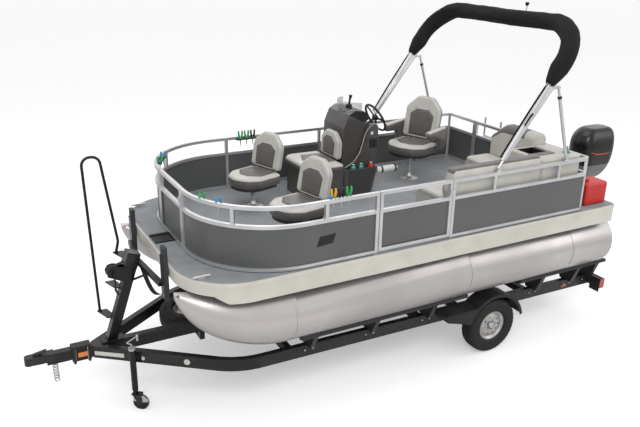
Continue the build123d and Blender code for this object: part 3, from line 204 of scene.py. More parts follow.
def finish(name, colour, second=None, rough=(0.4, 0.5), grain=None, weave=None, brushed=None,
           depth=0.0002, patch=4.0, wear=0.0, worn=(0.7, 0.7, 0.7), dust=0.0, lower=None, **shader_values):
    """A material: patchy colour, worn edges, dust, a roughness range and one kind of fine relief."""
    material = bpy.data.materials.new(name)
    material.use_nodes = True
    tree = material.node_tree
    shader = tree.nodes["Principled BSDF"].inputs

    def place(kind, **values):
        made = tree.nodes.new("ShaderNodeGroup")
        made.node_tree = GROUPS[kind]
        for key, value in values.items():
            value = (*value, 1.0) if isinstance(value, tuple) else value
            put(tree, made.inputs[key.replace("_", " ")], value)
        return made.outputs

    if second is None:
        second = tuple(value * SECOND_SHADE for value in colour)
    base = place("mottle", Colour=colour, Second_Colour=second, Scale=patch)
    tone = base["Colour"]
    if lower:
        height, low_colour = lower
        split = node(tree, "SeparateXYZ", Vector=node(tree, "TexCoord").outputs["Object"])
        above = ramp(tree, split.outputs["Z"], height - EDGE_BLEND, height + EDGE_BLEND)
        tone = mix_colour(tree, above, low_colour, tone)
    if wear:
        tone = place("wear", Colour=tone, Worn_Colour=worn, Amount=wear)["Colour"]
    if dust:
        tone = place("dust", Colour=tone, Amount=dust)["Colour"]
    put(tree, shader["Base Color"], tone)
    spread = node(tree, "MapRange", Value=base["Mask"], To_Min=rough[0], To_Max=rough[1])
    put(tree, shader["Roughness"], spread.outputs["Result"])
    reliefs = (("grain", grain), ("weave", weave), ("brushed", brushed))
    for kind, scale in (relief for relief in reliefs if relief[1]):
        height = place(kind, Scale=scale)["Height"]
        bump = node(tree, "Bump", Strength=BUMP_STRENGTH, Distance=depth, Height=height)
        put(tree, shader["Normal"], bump.outputs["Normal"])
    for key, value in shader_values.items():
        shader[key.replace("_", " ")].default_value = value
    material.diffuse_color = (*colour, 1.0)
    return material


RAIL = finish("satin rail aluminium", (0.60, 0.60, 0.605), (0.52, 0.52, 0.53), rough=(0.28, 0.40),
              brushed=60.0, depth=0.00002, Metallic=0.75)
MILL = finish("mill aluminium", (0.60, 0.60, 0.60), rough=(0.35, 0.5), brushed=60.0, dust=0.2, Metallic=0.85)
LOG = finish("pontoon aluminium", (0.52, 0.49, 0.48), (0.43, 0.405, 0.395), rough=(0.26, 0.44), patch=1.1,
             brushed=30.0, depth=0.0001, dust=0.05, Metallic=0.7)
SKIRT = finish("cream skirt", CREAM, (0.54, 0.52, 0.46), rough=(0.3, 0.42), grain=260.0, wear=0.3)
SHEET = finish("grey fence sheet", SHEET_GREY, (0.086, 0.091, 0.088), rough=(0.34, 0.44), patch=2.0,
               grain=500.0, depth=0.00008)
DECK = finish("woven deck vinyl", (0.27, 0.29, 0.315), (0.235, 0.255, 0.28), rough=(0.55, 0.7), patch=3.0,
              weave=160.0, depth=0.0008, dust=0.3)
TRAILER = finish("gloss black paint", (0.006, 0.006, 0.006), (0.009, 0.009, 0.009), rough=(0.22, 0.36),
                 grain=120.0, depth=0.0001, wear=0.35, worn=(0.10, 0.10, 0.09), dust=0.03,
                 Specular_IOR_Level=0.3)
# Real black plastic, and also the painted shade of the openings under the lounge.
BLACK_PLASTIC_AND_SHADE = finish("moulded black plastic", (0.010, 0.010, 0.010), (0.016, 0.016, 0.016), rough=(0.4, 0.55),
                 grain=380.0, depth=0.0004, dust=0.04, Specular_IOR_Level=0.3)
ZINC = finish("zinc plate", (0.52, 0.53, 0.54), (0.40, 0.41, 0.43), rough=(0.28, 0.5), patch=18.0,
              grain=200.0, wear=0.3, Metallic=0.9)
CARPET = finish("bunk carpet", (0.03, 0.03, 0.033), (0.05, 0.05, 0.053), rough=(0.9, 1.0), patch=60.0,
                grain=900.0, depth=0.002, dust=0.3)
TYRE = finish("tyre rubber", (0.011, 0.011, 0.011), (0.017, 0.017, 0.017), rough=(0.6, 0.78), grain=300.0,
              depth=0.0003, dust=0.1, Specular_IOR_Level=0.3)
WHEEL = finish("silver wheel enamel", (0.46, 0.45, 0.43), (0.38, 0.37, 0.355), rough=(0.25, 0.4), grain=200.0,
               depth=0.00006, wear=0.3, worn=(0.3, 0.28, 0.26), Metallic=0.4)
WHITE_ENAMEL = finish("white bottle enamel", (0.70, 0.70, 0.68), (0.62, 0.62, 0.60), rough=(0.2, 0.34),
                      grain=200.0, depth=0.00006)
CHAR_VINYL = finish("charcoal seat vinyl", CHARCOAL, (0.088, 0.08, 0.075), rough=(0.42, 0.56), patch=7.0,
                    grain=330.0, depth=0.0006, Sheen_Weight=0.15)
LIGHT_VINYL = finish("light seat vinyl", LIGHT, (0.48, 0.467, 0.43), rough=(0.42, 0.56), patch=7.0,
                     grain=330.0, depth=0.0006, Sheen_Weight=0.1)
# Real seat piping, and also the painted highlight on the fin's forward edge.
PIPING_AND_HIGHLIGHT = finish("seat piping and painted highlight", (0.40, 0.39, 0.36), rough=(0.4, 0.55), weave=900.0, depth=0.0002)
CONSOLE = finish("moulded charcoal console", (0.058, 0.054, 0.052), (0.047, 0.044, 0.042), rough=(0.3, 0.45),
                 grain=300.0, depth=0.0003, wear=0.25, worn=(0.3, 0.29, 0.28), dust=0.1)
SHELL = finish("charcoal seat shell", (0.026, 0.025, 0.024), rough=(0.4, 0.55), grain=280.0, depth=0.0003,
               dust=0.1)
SCREEN = finish("clear screen", (0.86, 0.87, 0.87), rough=(0.02, 0.05), Transmission_Weight=1.0, IOR=1.2)
LOUNGE = finish("moulded lounge base", (0.50, 0.487, 0.445), (0.455, 0.443, 0.40), rough=(0.35, 0.48),
                grain=240.0, depth=0.0002)
CANVAS = finish("black boot canvas", (0.007, 0.006, 0.007), (0.013, 0.012, 0.013), rough=(0.8, 0.95),
                patch=9.0, weave=420.0, depth=0.0006, Specular_IOR_Level=0.25)
COWL = finish("gloss black cowl", (0.006, 0.006, 0.006), (0.008, 0.008, 0.008), rough=(0.16, 0.26),
              grain=60.0, depth=0.00006, dust=0.02, lower=(1.585, (0.13, 0.13, 0.13)), Specular_IOR_Level=0.4)
MOTOR = finish("motor grey paint", (0.17, 0.175, 0.18), (0.14, 0.145, 0.15), rough=(0.3, 0.42), grain=160.0,
               wear=0.4, Coat_Weight=0.3)
PROP = finish("propeller black", (0.02, 0.02, 0.021), rough=(0.25, 0.4), grain=180.0, wear=0.6,
              worn=(0.3, 0.3, 0.3))
TANK = finish("red tank plastic", (0.56, 0.018, 0.013), (0.48, 0.014, 0.010), rough=(0.36, 0.48), grain=200.0,
              depth=0.0002, dust=0.08)
LENS = finish("red lamp lens", (0.42, 0.012, 0.008), (0.30, 0.008, 0.006), rough=(0.08, 0.16), weave=260.0,
              depth=0.0006, Coat_Weight=0.8)
AMBER = finish("amber reflector", (0.85, 0.26, 0.02), (0.7, 0.2, 0.015), rough=(0.08, 0.16), weave=260.0,
               depth=0.0006, Coat_Weight=0.8)
WHITE = finish("white gauge face", (0.75, 0.75, 0.73), rough=(0.2, 0.3), grain=300.0, depth=0.00005)
TEAL = finish("teal bottle", (0.02, 0.28, 0.22), (0.015, 0.22, 0.18), rough=(0.1, 0.2), grain=90.0,
              depth=0.0001, Coat_Weight=0.5)
RED = finish("red label", (0.55, 0.03, 0.03), rough=(0.25, 0.35), grain=200.0, depth=0.00005)
GREEN_GRIP, YELLOW_GRIP, BLUE_GRIP = (
    finish(tone + " grip", colour, grain=500.0, depth=0.0003)
    for tone, colour in (("green", (0.03, 0.42, 0.10)), ("yellow", (0.75, 0.46, 0.02)),
                         ("blue", (0.03, 0.30, 0.55))))
WEBBING = finish("black webbing", (0.012, 0.012, 0.012), (0.02, 0.02, 0.02), rough=(0.8, 0.9), patch=30.0,
                 weave=700.0, depth=0.0008)

NODE_FINISH = (
    (DECK, "deck"), (SKIRT, "deck_skirt"), (LOG, "pontoon_port pontoon_starboard"), (SHEET, "fence_panels"),
    (MILL, "cross_channels chair_pedestals bimini_feet motor_pod deck_fittings"),
    (RAIL, "side_gate bow_gate stern_gate bimini_bows bimini_prop_port bimini_prop_starboard"),
    (RAIL, "boarding_ladder"),
    (TRAILER, "trailer_frame jack_leg coupler axle bunk_brackets winch_stand winch"), (TYRE, "jack_wheel"),
    (ZINC, "safety_chains"), (BLACK_PLASTIC_AND_SHADE, "fenders tail_lights steering_wheel"), (CARPET, "bunks"),
    (WHEEL, "rim_port rim_starboard spare_rim"), (CONSOLE, "console console_seat_box"),
    (SCREEN, "windscreen"), (COWL, "motor_cowl"), (PROP, "propeller"), (TANK, "fuel_tank"),
    (SHELL, "chair_shell_bow_starboard chair_shell_bow_port chair_shell_helm"), (LOUNGE, "lounge_base"),
    (MOTOR, "motor_clamp motor_swivel motor_leg"),
    (RAIL, " ".join(name for name in nodes if name.startswith("fence_") and name != "fence_panels")),
)
for material, names in NODE_FINISH:
    for name in names.split():
        nodes[name].data.materials.clear()
        nodes[name].data.materials.append(material)


def recolour(node, material, inside):
    """Gives the faces of a CAD node whose middle passes a test another finish."""
    mesh = nodes[node].data
    mesh.materials.append(material)
    index = len(mesh.materials) - 1
    for face in mesh.polygons:
        middle = face.center
        if inside(middle.x - FENCE_X, middle.y, middle.z, face.normal):
            face.material_index = index


def smooth(mesh, angle=40.0):
    """Smooth shading with the hard edges kept."""
    mesh.shade_smooth()
    mesh.set_sharp_from_angle(angle=radians(angle))
    return mesh


for name in nodes:
    if name not in ("tyre_port", "tyre_starboard", "spare_tyre"):
        smooth(nodes[name].data, 35.0)
for name in ("pontoon_port", "pontoon_starboard"):
    nodes[name].modifiers.new("even shading", "WEIGHTED_NORMAL").keep_sharp = True


# Mesh helpers.


def new_piece(name, mesh, body, *materials):
    """A mesh object that rides on a body."""
    for material in materials:
        mesh.materials.append(material)
    made = bpy.data.objects.new(name, mesh)
    bpy.context.scene.collection.objects.link(made)
    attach(made, body)
    return made


def dressed(slot, *given):
    """A piece made as by new_piece; its slot is not used."""
    made = new_piece(*given)
    return made


def loft_mesh(name, rings, finishes=None, closed_ends=True, round_trip=False):
    """A skin through rings of points; finishes gives the material index of each band."""
    work = bmesh.new()
    rows = [[work.verts.new(point) for point in ring] for ring in rings]
    count = len(rows[0])
    bands = len(rows) if round_trip else len(rows) - 1
    for band in range(bands):
        low, high = rows[band], rows[(band + 1) % len(rows)]
        for step in range(count):
            after = (step + 1) % count
            face = work.faces.new((low[step], low[after], high[after], high[step]))
            if finishes:
                face.material_index = finishes[band]
    if closed_ends and not round_trip:
        for row, last in ((rows[0], False), (rows[-1], True)):
            face = work.faces.new(row if last else list(reversed(row)))
            if finishes:
                face.material_index = finishes[-1] if last else finishes[0]
    bmesh.ops.recalc_face_normals(work, faces=work.faces)
    mesh = bpy.data.meshes.new(name)
    work.to_mesh(mesh)
    work.free()
    return mesh


def frames_along(points):
    """A point and two square directions at each step of a path."""
    made = []
    side = None
    for index, point in enumerate(points):
        before = points[max(index - 1, 0)]
        after = points[min(index + 1, len(points) - 1)]
        ahead = (after - before).normalized()
        if side is None:
            side = ahead.orthogonal().normalized()
        side = (side - ahead * side.dot(ahead)).normalized()
        made.append((point, side, ahead.cross(side)))
    return made


def circle(point, side, up, radius, sides):
    """Points round a centre, in the plane of two square directions."""
    turns = [2 * pi * k / sides for k in range(sides)]
    return [point + side * cos(turn) * radius + up * sin(turn) * radius for turn in turns]


def tube_mesh(name, points, radius, sides=12):
    """A round tube along points; radius may be one value or one for each point."""
    radii = radius if isinstance(radius, list) else [radius] * len(points)
    rings = []
    for (point, side, up), size in zip(frames_along(points), radii):
        rings.append(circle(point, side, up, size, sides))
    return smooth(loft_mesh(name, rings), 50.0)


def ring_tube(name, points, radius, sides=8):
    """A round tube along a closed loop of points."""
    count = len(points)
    rings = []
    centre = sum(points, Vector()) / count
    for index, point in enumerate(points):
        ahead = (points[(index + 1) % count] - points[index - 1]).normalized()
        out = (point - centre)
        out = (out - ahead * out.dot(ahead)).normalized()
        rings.append(circle(point, out, ahead.cross(out), radius, sides))
    return smooth(loft_mesh(name, rings, round_trip=True), 80.0)


def turned_mesh(name, profile, place, steps=32, finishes=None):
    """A round form: profile gives (height, radius) along the local Z axis."""
    rings = []
    for height, radius in profile:
        rings.append([place @ Vector((cos(2 * pi * k / steps) * radius,
                                      sin(2 * pi * k / steps) * radius, height)) for k in range(steps)])
    return smooth(loft_mesh(name, rings, finishes), 35.0)


def ribbon(name, points, offsets):
    """Flat webbing: the same four offsets stand round each point."""
    return smooth(loft_mesh(name, [[point + Vector(offset) for offset in offsets] for point in points]), 50.0)


def slab_mesh(name, outline, thickness, place, bevel=0.003):
    """A flat plate with eased edges from an outline drawn in local X and Y."""
    middle = sum((Vector(p) for p in outline), Vector((0, 0))) / len(outline)

    def ring(inset, height):
        points = []
        for p in outline:
            reach = Vector(p) - middle
            short = max(reach.length - inset, 0.0)
            q = middle + reach.normalized() * short
            points.append(place @ Vector((q.x, q.y, height)))
        return points

    rings = [ring(bevel, 0), ring(0, bevel), ring(0, thickness - bevel), ring(bevel, thickness)]
    return smooth(loft_mesh(name, rings), 35.0)


def joined(name, meshes):
    """Several meshes as one."""
    work = bmesh.new()
    for mesh in meshes:
        work.from_mesh(mesh)
        bpy.data.meshes.remove(mesh)
    made = bpy.data.meshes.new(name)
    work.to_mesh(made)
    work.free()
    return smooth(made, 35.0)


def facing(origin, along, out):
    """A place whose local X runs along, and whose local Z points out."""
    z = Vector(out).normalized()
    x = Vector(along)
    x = (x - z * x.dot(z)).normalized()
    y = z.cross(x)
    return Matrix.Translation(origin) @ Matrix((x, y, z)).transposed().to_4x4()


def to_port(x, y, z):
    """A place on a side turned to port: local X runs aft and local Y up."""
    return facing(at(x, y, z), (-1, 0, 0), (0, 1, 0))


def rectangle(x_low, y_low, x_high, y_high):
    """The corners of a rectangle."""
    return [(x_low, y_low), (x_high, y_low), (x_high, y_high), (x_low, y_high)]


def mirrored(half):
    """A whole outline from the half of it that lies at negative Y."""
    return half + [(x, -y, *rest) for x, y, *rest in reversed(half)]


def standing(back):
    """A pad set upright and back: local X up, local Y across, local Z ahead."""
    return Matrix(((0, 0, 1, -back), (0, 1, 0, 0), (1, 0, 0, 0), (0, 0, 0, 1)))


def on_side(y):
    """A pad set on its side at y: local X ahead, local Y up, local Z to starboard."""
    return Matrix(((1, 0, 0, 0), (0, 0, -1, y), (0, 1, 0, 0), (0, 0, 0, 1)))


# Padded pieces.


PIPING = 0.003
PLAIN_SEAM = 0.72
RIPPLE_SCALE, RIPPLE_HEIGHT = 9, 0.0022
ROLL_TURNS = (30, 55, 75, 90)
RIM_CROWN = 0.35


def rounded_outline(corners, steps=10):
    """An outline of points from corners given as (x, y, corner radius)."""
    points = []
    count = len(corners)
    for index, (x, y, radius) in enumerate(corners):
        here = Vector((x, y))
        back = (Vector(corners[index - 1][:2]) - here).normalized()
        on = (Vector(corners[(index + 1) % count][:2]) - here).normalized()
        half = acos(max(-1.0, min(1.0, back.dot(on)))) / 2
        reach = radius / tan(half)
        centre = here + (back + on).normalized() * (radius / sin(half))
        start = here + back * reach - centre
        end = here + on * reach - centre
        turn = start.angle_signed(end)
        for step in range(steps + 1):
            points.append(centre + Matrix.Rotation(-turn * step / steps, 2) @ start)
    return points


def even_outline(points, spacing=0.014):
    """The same outline with points at an even spacing."""
    made = []
    for index, point in enumerate(points):
        after = points[(index + 1) % len(points)]
        count = max(1, round((after - point).length / spacing))
        for step in range(count):
            made.append(point.lerp(after, step / count))
    return made


def inward(points, inset):
    """The outline drawn in by an inset, along its own normals."""
    count = len(points)
    area = sum(points[i - 1].cross(points[i]) for i in range(count))
    side = 1.0 if area > 0 else -1.0
    made = []
    for index, point in enumerate(points):
        ahead = (points[(index + 1) % count] - points[index - 1]).normalized()
        made.append(point + Vector((-ahead.y, ahead.x)) * side * inset)
    return made


def on_edge(corners, direction):
    """Where a ray from the origin meets a closed polygon."""
    best = 0.05
    for index, low in enumerate(corners):
        high = corners[(index + 1) % len(corners)]
        edge = high - low
        cross = direction.cross(edge)
        if abs(cross) < 1e-9:
            continue
        reach = low.cross(edge) / cross
        share = low.cross(direction) / cross
        if reach > 0 and -1e-6 <= share <= 1 + 1e-6:
            best = reach
    return best


def pad(name, body, corners, thickness, place, insert=None, rim=0.03, crown=0.012, wrap=0.0, side_finish=1,
        band=0.0, node=None, slot="seat_vinyl", spacing=0.014):
    """A padded form on its outline: side band, rolled rim, sewn-in centre panel and a crowned face."""
    edge = even_outline(rounded_outline(corners), spacing)
    middle = sum(edge, Vector((0, 0))) / len(edge)
    centre = middle
    if insert:
        centre = sum((Vector(p) for p in insert), Vector((0, 0))) / len(insert)
    levels = [(0.010, 0.0, side_finish), (0.001, 0.010, side_finish), (-0.002, thickness * 0.35, side_finish)]
    roll = thickness - rim
    line = band if band else roll
    levels += [(0.0, line - 0.003, side_finish), (0.004, line, 0), (0.0, line + 0.003, 0)]
    for turn in ROLL_TURNS:
        levels.append((rim * (1 - cos(radians(turn))), roll + rim * sin(radians(turn)), 0))
    rings = []
    finishes = []
    for inset, height, kind in levels:
        rings.append([(p, height) for p in inward(edge, inset)])
        finishes.append(kind)
    last = inward(edge, rim)
    if insert:
        corners_in = [Vector(p) - centre for p in insert]
        rays = [(p - centre).normalized() for p in edge]
        seam = [centre + ray * on_edge(corners_in, ray) for ray in rays]
    else:
        seam = [centre + (p - centre) * PLAIN_SEAM for p in last]
    for share in (0.35, 0.7):
        lift = thickness + crown * RIM_CROWN * share
        rings.append([(a.lerp(b, share), lift) for a, b in zip(last, seam)])
        finishes.append(0)
    if insert:
        for scale, drop in ((1.03, 0.001), (1.0, -0.005), (0.965, 0.002)):
            rings.append([(centre + (p - centre) * scale, thickness + crown * RIM_CROWN + drop) for p in seam])
            finishes.append(2 if scale <= 1.0 else 0)
    else:
        rings.append([(p, thickness + crown * 0.4) for p in seam])
        finishes.append(0)
    inner = 2 if insert else 0
    for scale in (0.75, 0.5, 0.25, 0.04):
        lift = thickness + crown * (1 - 0.6 * scale ** 2)
        rings.append([(centre + (p - centre) * scale, lift) for p in seam])
        finishes.append(inner)
    wide = max(abs(p.y) for p in edge)

    def raised(p, height):
        bend = wrap * (p.y / wide) ** 2 if wrap else 0.0
        ripple = noise.noise(Vector([value * RIPPLE_SCALE for value in (p.x, p.y, height)])) * RIPPLE_HEIGHT
        return place @ Vector((p.x, p.y, height + bend + (ripple if height > thickness * 0.4 else 0.0)))

    mesh = loft_mesh(name, [[raised(p, h) for p, h in ring] for ring in rings], finishes[1:] + [inner])
    smooth(mesh, 60.0)
    made = new_piece(name, mesh, body, LIGHT_VINYL, CHAR_VINYL, CHAR_VINYL)
    if side_finish == 0 and insert is None:
        made.data.materials.clear()
        made.data.materials.append(LIGHT_VINYL)
    if node:
        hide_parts(node)
    path = [raised(p, line) for p in inward(edge, -0.001)]
    dressed(slot, name + "_piping", ring_tube(name + "_piping", path, PIPING, sides=6), body, PIPING_AND_HIGHLIGHT)
    return made


# Chairs.

CHAIRS = [
    # name, x, y, heading, seat height, back height, width, armrests
    ("bow_starboard", 3.158, -0.505, 18.0, 1.880, 2.260, 0.460, False),
    ("bow_port", 3.150, 0.515, 12.0, 1.880, 2.260, 0.460, False),
    ("helm", 1.040, -0.606, 20.0, 1.960, 2.460, 0.520, True),
]
for name, x, y, heading, seat_top, back_top, width, arms in CHAIRS:
    body = "chair_" + name
    half = width / 2
    turn = Matrix.Translation(at(x, y, 0)) @ Matrix.Rotation(radians(heading), 4, "Z")
    seat = turn @ Matrix.Translation((0, 0, seat_top - 0.0995))
    front = [(-0.205, -half, 0.045), (-0.205, half, 0.045), (0.09, half, 0.06), (0.215, half * 0.66, 0.13),
             (0.26, 0.0, 0.16), (0.215, -half * 0.66, 0.13), (0.09, -half, 0.06)]
    panel = [(-0.185, -half * 0.72), (-0.185, half * 0.72), (0.03, half * 0.74), (0.125, half * 0.25),
             (0.125, -half * 0.25), (0.03, -half * 0.74)]
    pad("seat_" + name, body, front, 0.108, seat, insert=panel, rim=0.026, crown=0.012, band=0.086,
        node="chair_pads_" + name)
    rise = back_top - seat_top
    lean = turn @ Matrix.Translation((-0.232, 0, seat_top + 0.024 + rise / 2))
    lean = lean @ Matrix.Rotation(radians(-11.0), 4, "Y")
    wide = (width - 0.03) / 2
    tall = rise / 2
    shield = mirrored([(-tall, -wide, 0.040), (tall * 0.45, -wide, 0.10), (tall, -wide * 0.42, 0.10)])
    heart = mirrored([(-tall * 0.92, -wide * 0.60), (tall * 0.10, -wide * 0.66), (tall * 0.36, -wide * 0.30)])
    pad("back_" + name, body, shield, 0.066, lean @ standing(0.036), insert=heart, rim=0.030, crown=0.010,
        wrap=0.012, side_finish=1 if arms else 0)
    if arms:
        for side, label in ((-1, "starboard"), (1, "port")):
            rest = [(-0.250, seat_top + 0.205, 0.03), (0.138, seat_top + 0.190, 0.045),
                    (0.108, seat_top + 0.106, 0.03), (-0.108, seat_top + 0.090, 0.03),
                    (-0.142, seat_top - 0.058, 0.02), (-0.203, seat_top - 0.058, 0.02),
                    (-0.256, seat_top + 0.040, 0.02)]
            place = turn @ Matrix.Translation((0, side * (half + 0.041) + 0.034, 0))
            made = pad("arm_" + label, body, rest, 0.068, place @ on_side(0), rim=0.018, crown=0.002,
                       spacing=0.02)
            made.data.materials[0] = CHAR_VINYL
            top = [Vector(p) for p in ((-0.235, 0, seat_top + 0.203), (0.0, 0, seat_top + 0.199),
                                       (0.115, 0, seat_top + 0.190))]
            cap = [[turn @ Vector((p.x, side * (half + 0.041) + w, p.z + h)) for w, h in
                    ((-0.032, -0.012), (-0.026, 0.003), (0.0, 0.008), (0.026, 0.003), (0.032, -0.012),
                     (0.0, -0.014))] for p in top]
            mesh = smooth(loft_mesh("arm_top", cap), 70.0)
            dressed("seat_vinyl", "arm_top_" + label, mesh, body, LIGHT_VINYL)

# Console seat and lounge.

CONSOLE_FRONT = 2.168
SEAT_Y = -0.580
flat = Matrix.Translation(at(CONSOLE_FRONT + 0.226, SEAT_Y, 1.8505))
front = [(-0.222, -0.314, 0.03), (-0.222, 0.314, 0.03), (0.222, 0.314, 0.11), (0.222, -0.314, 0.11)]
panel = [(-0.19, -0.17), (-0.19, 0.17), (0.05, 0.19), (0.13, 0.0), (0.05, -0.19)]
pad("console_seat", BOAT, front, 0.076, flat, insert=panel, rim=0.026, crown=0.010, node="console_seat_pads")
slope = Matrix.Translation(at(CONSOLE_FRONT - 0.004, SEAT_Y, 2.0865))
slope = slope @ Matrix.Rotation(radians(-2.6), 4, "Y")
shield = mirrored([(-0.148, -0.198, 0.04), (0.06, -0.198, 0.09), (0.148, -0.09, 0.09)])
heart = mirrored([(-0.12, -0.12), (0.03, -0.13), (0.085, -0.05)])
pad("console_back", BOAT, shield, 0.062, slope @ standing(0.034), insert=heart, rim=0.026, crown=0.008,
    side_finish=0)

LOUNGE_OUTER = 1.130
LOUNGE_INNER = 0.560
CORNER_X = 0.650
CORNER_Y = LOUNGE_INNER + 0.080
SEAT_LOW = 1.8305
LOUNGE_TOP = 2.1502


def box_corners(x_low, y_low, x_high, y_high, radius):
    """Corners of a plain cushion."""
    return [(x, y, radius) for x, y in ((x_low, y_low), (x_low, y_high), (x_high, y_high), (x_high, y_low))]


ground = Matrix.Translation(at(0, 0, SEAT_LOW))
SIDE_SEAT = (CORNER_X + 0.006, LOUNGE_INNER - 0.004, 1.799, LOUNGE_OUTER - 0.147)
STERN_SEAT = (0.306, -0.059, CORNER_X - 0.002, CORNER_Y - 0.007)
for name, outline, old in (
        ("lounge_side_seat", SIDE_SEAT, "lounge_pads"), ("lounge_stern_seat", STERN_SEAT, None)):
    pad(name, BOAT, box_corners(*outline, 0.05), 0.060, ground, rim=0.026, side_finish=0, node=old,
        spacing=0.03)
back = [(CORNER_X + 0.006, 0.002, 0.02), (1.789, 0.002, 0.03), (1.830, 0.150, 0.05), (1.794, 0.358, 0.04),
        (CORNER_X + 0.006, 0.358, 0.03)]
lounge_back = pad("lounge_side_back", BOAT, back, 0.128, ground @ on_side(LOUNGE_OUTER - 0.003), rim=0.028,
                  crown=0.010, side_finish=0, spacing=0.03)
lounge_back.data.materials.append(CHAR_VINYL)
for face in lounge_back.data.polygons:
    middle = face.center
    if middle.z > SEAT_LOW + 0.318 and middle.x - FENCE_X > 0.70:
        face.material_index = len(lounge_back.data.materials) - 1


def stern_roll():
    """The stern headrest: a deep round-topped bolster, charcoal with a light stripe at its port end."""
    half_wide, high, radius = 0.105, 0.438, 0.085
    section = rounded_outline([(-half_wide, 0, radius * 0.7), (-half_wide, high, radius),
                               (half_wide, high, radius), (half_wide, 0, radius * 0.7)], steps=8)
    stations = [(-0.059, 0.03), (-0.052, 0.014), (-0.038, 0.004), (-0.02, 0.0)]
    stations += [(y / 100.0, 0.0) for y in range(0, 60, 4)]
    stations += [(0.585, 0.0), (0.605, 0.003), (0.621, 0.013), (0.631, 0.03)]
    rings = []
    finishes = []
    for y, inset in stations:
        sag = 0.004 * sin(y * 9.0) - (0.004 if abs(y - 0.46) < 0.011 else 0.0)
        ring = inward(section, inset - 0.5 * sag)
        ease = min(max((y + 0.059) / 0.22, 0.0), 1.0)
        low = 1.0 - 0.26 * (1.0 - ease * ease * (3.0 - 2.0 * ease)) - 0.05 * (1.0 - ease)
        rings.append([at(0.192 + p.x, y, SEAT_LOW + max(p.y, 0.0) * low) for p in ring])
        finishes.append(0 if 0.47 <= y else 1)
    mesh = smooth(loft_mesh("stern_roll", rings, finishes), 60.0)
    for face in mesh.polygons:
        if face.center.z < SEAT_LOW + 0.235:
            face.material_index = 0
    made = dressed("seat_vinyl", "lounge_stern_roll", mesh, BOAT, LIGHT_VINYL, CHAR_VINYL)


stern_roll()
trim = [slab_mesh("trim", outline, 0.006, Matrix.Translation((FENCE_X, 0, LOUNGE_TOP)), 0.003)
        for outline in (rectangle(0.362, 0.904, 0.648, 0.985), rectangle(0.330, 0.700, 0.366, 0.985))]
dressed("seat_vinyl", "recess_trim", joined("trim", trim), BOAT, CHAR_VINYL)
# The cup recess is black, and the openings under the lounge are painted shade: their faces are coloured black
# for the dark inside them.
recolour("lounge_base", BLACK_PLASTIC_AND_SHADE, lambda x, y, z, n: 0.36 < x < 0.61 and 0.68 < y < 0.91 and 2.04 < z < 2.149)
recolour("lounge_base", BLACK_PLASTIC_AND_SHADE, lambda x, y, z, n: z < 1.615 and y < LOUNGE_INNER + 0.05 and x > 0.69)

# Canopy boot.

BOOT_HALF = 1.150
FOOT_Z = 2.150
RISE = 1.320
LEAN = RISE * 0.72
BOOT_SHARE = 0.66
BOOT_MIDDLE = 1.286
BOOT_CORNER = 0.41
BOOT_RADIUS = 0.084
STRUT_RADIUS = 0.0165
WEB_THICK = 0.003
STRAP_Y, STRAP_STEPS = 1.152, 12


def arch_path(spread, share, corner, spacing=0.02):
    """The boot's path: up one leg of the bows, across the top and down the other."""
    low = at(BOOT_MIDDLE - LEAN * share, 0, FOOT_Z + RISE * share)
    top = at(BOOT_MIDDLE - LEAN, 0, FOOT_Z + RISE)
    up = (top - low).normalized()
    points = [low + Vector((0, -spread, 0))]
    bend_low = top - up * corner
    steps = 10
    for side in (-1, 1):
        centre = bend_low + Vector((0, side * (spread - corner), 0))
        arc = [centre + Vector((0, side * cos(a) * corner, 0)) + up * sin(a) * corner
               for a in (pi / 2 * k / steps for k in range(steps + 1))]
        points += arc if side < 0 else list(reversed(arc))
    points.append(low + Vector((0, spread, 0)))
    fine = []
    for low_point, high_point in zip(points, points[1:]):
        count = max(1, round((high_point - low_point).length / spacing))
        fine += [low_point.lerp(high_point, k / count) for k in range(count)]
    return fine + [points[-1]], up


def boot():
    """Folded canopy cloth in its sleeve: one gathered tube, fuller at its corners, thin at its ends."""
    path, up = arch_path(BOOT_HALF, BOOT_SHARE, BOOT_CORNER)
    tail = [0.018 * k for k in range(6, 0, -1)]
    path = [path[0] - up * d for d in tail] + path + [path[-1] - up * d for d in reversed(tail)]
    sides = 28
    rings = []
    total = len(path)
    for index, (point, side, across) in enumerate(frames_along(path)):
        end = min(index, total - 1 - index)
        size = BOOT_RADIUS * (0.46 + 0.54 * min(end / 9.0, 1.0) ** 0.7)
        y_share = abs(point.y) / BOOT_HALF
        size *= 1.0 + 0.12 * exp(-((y_share - 0.86) / 0.16) ** 2)
        ring = []
        for step in range(sides):
            angle = 2 * pi * step / sides
            out = side * cos(angle) + across * sin(angle)
            crease = noise.noise(Vector((point.x * 7, point.y * 7, point.z * 7)) + out * 1.6) * 0.08
            fold = 0.035 * sin(3 * angle + index * 0.11) + 0.02 * sin(5 * angle - index * 0.07)
            ring.append(point + out * size * (1 + crease + fold))
        rings.append(ring)
    mesh = smooth(loft_mesh("canopy_boot", rings), 75.0)
    made = dressed("boot_fabric", "canopy_boot", mesh, "canopy", CANVAS)
    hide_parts("bimini_boot")


boot()

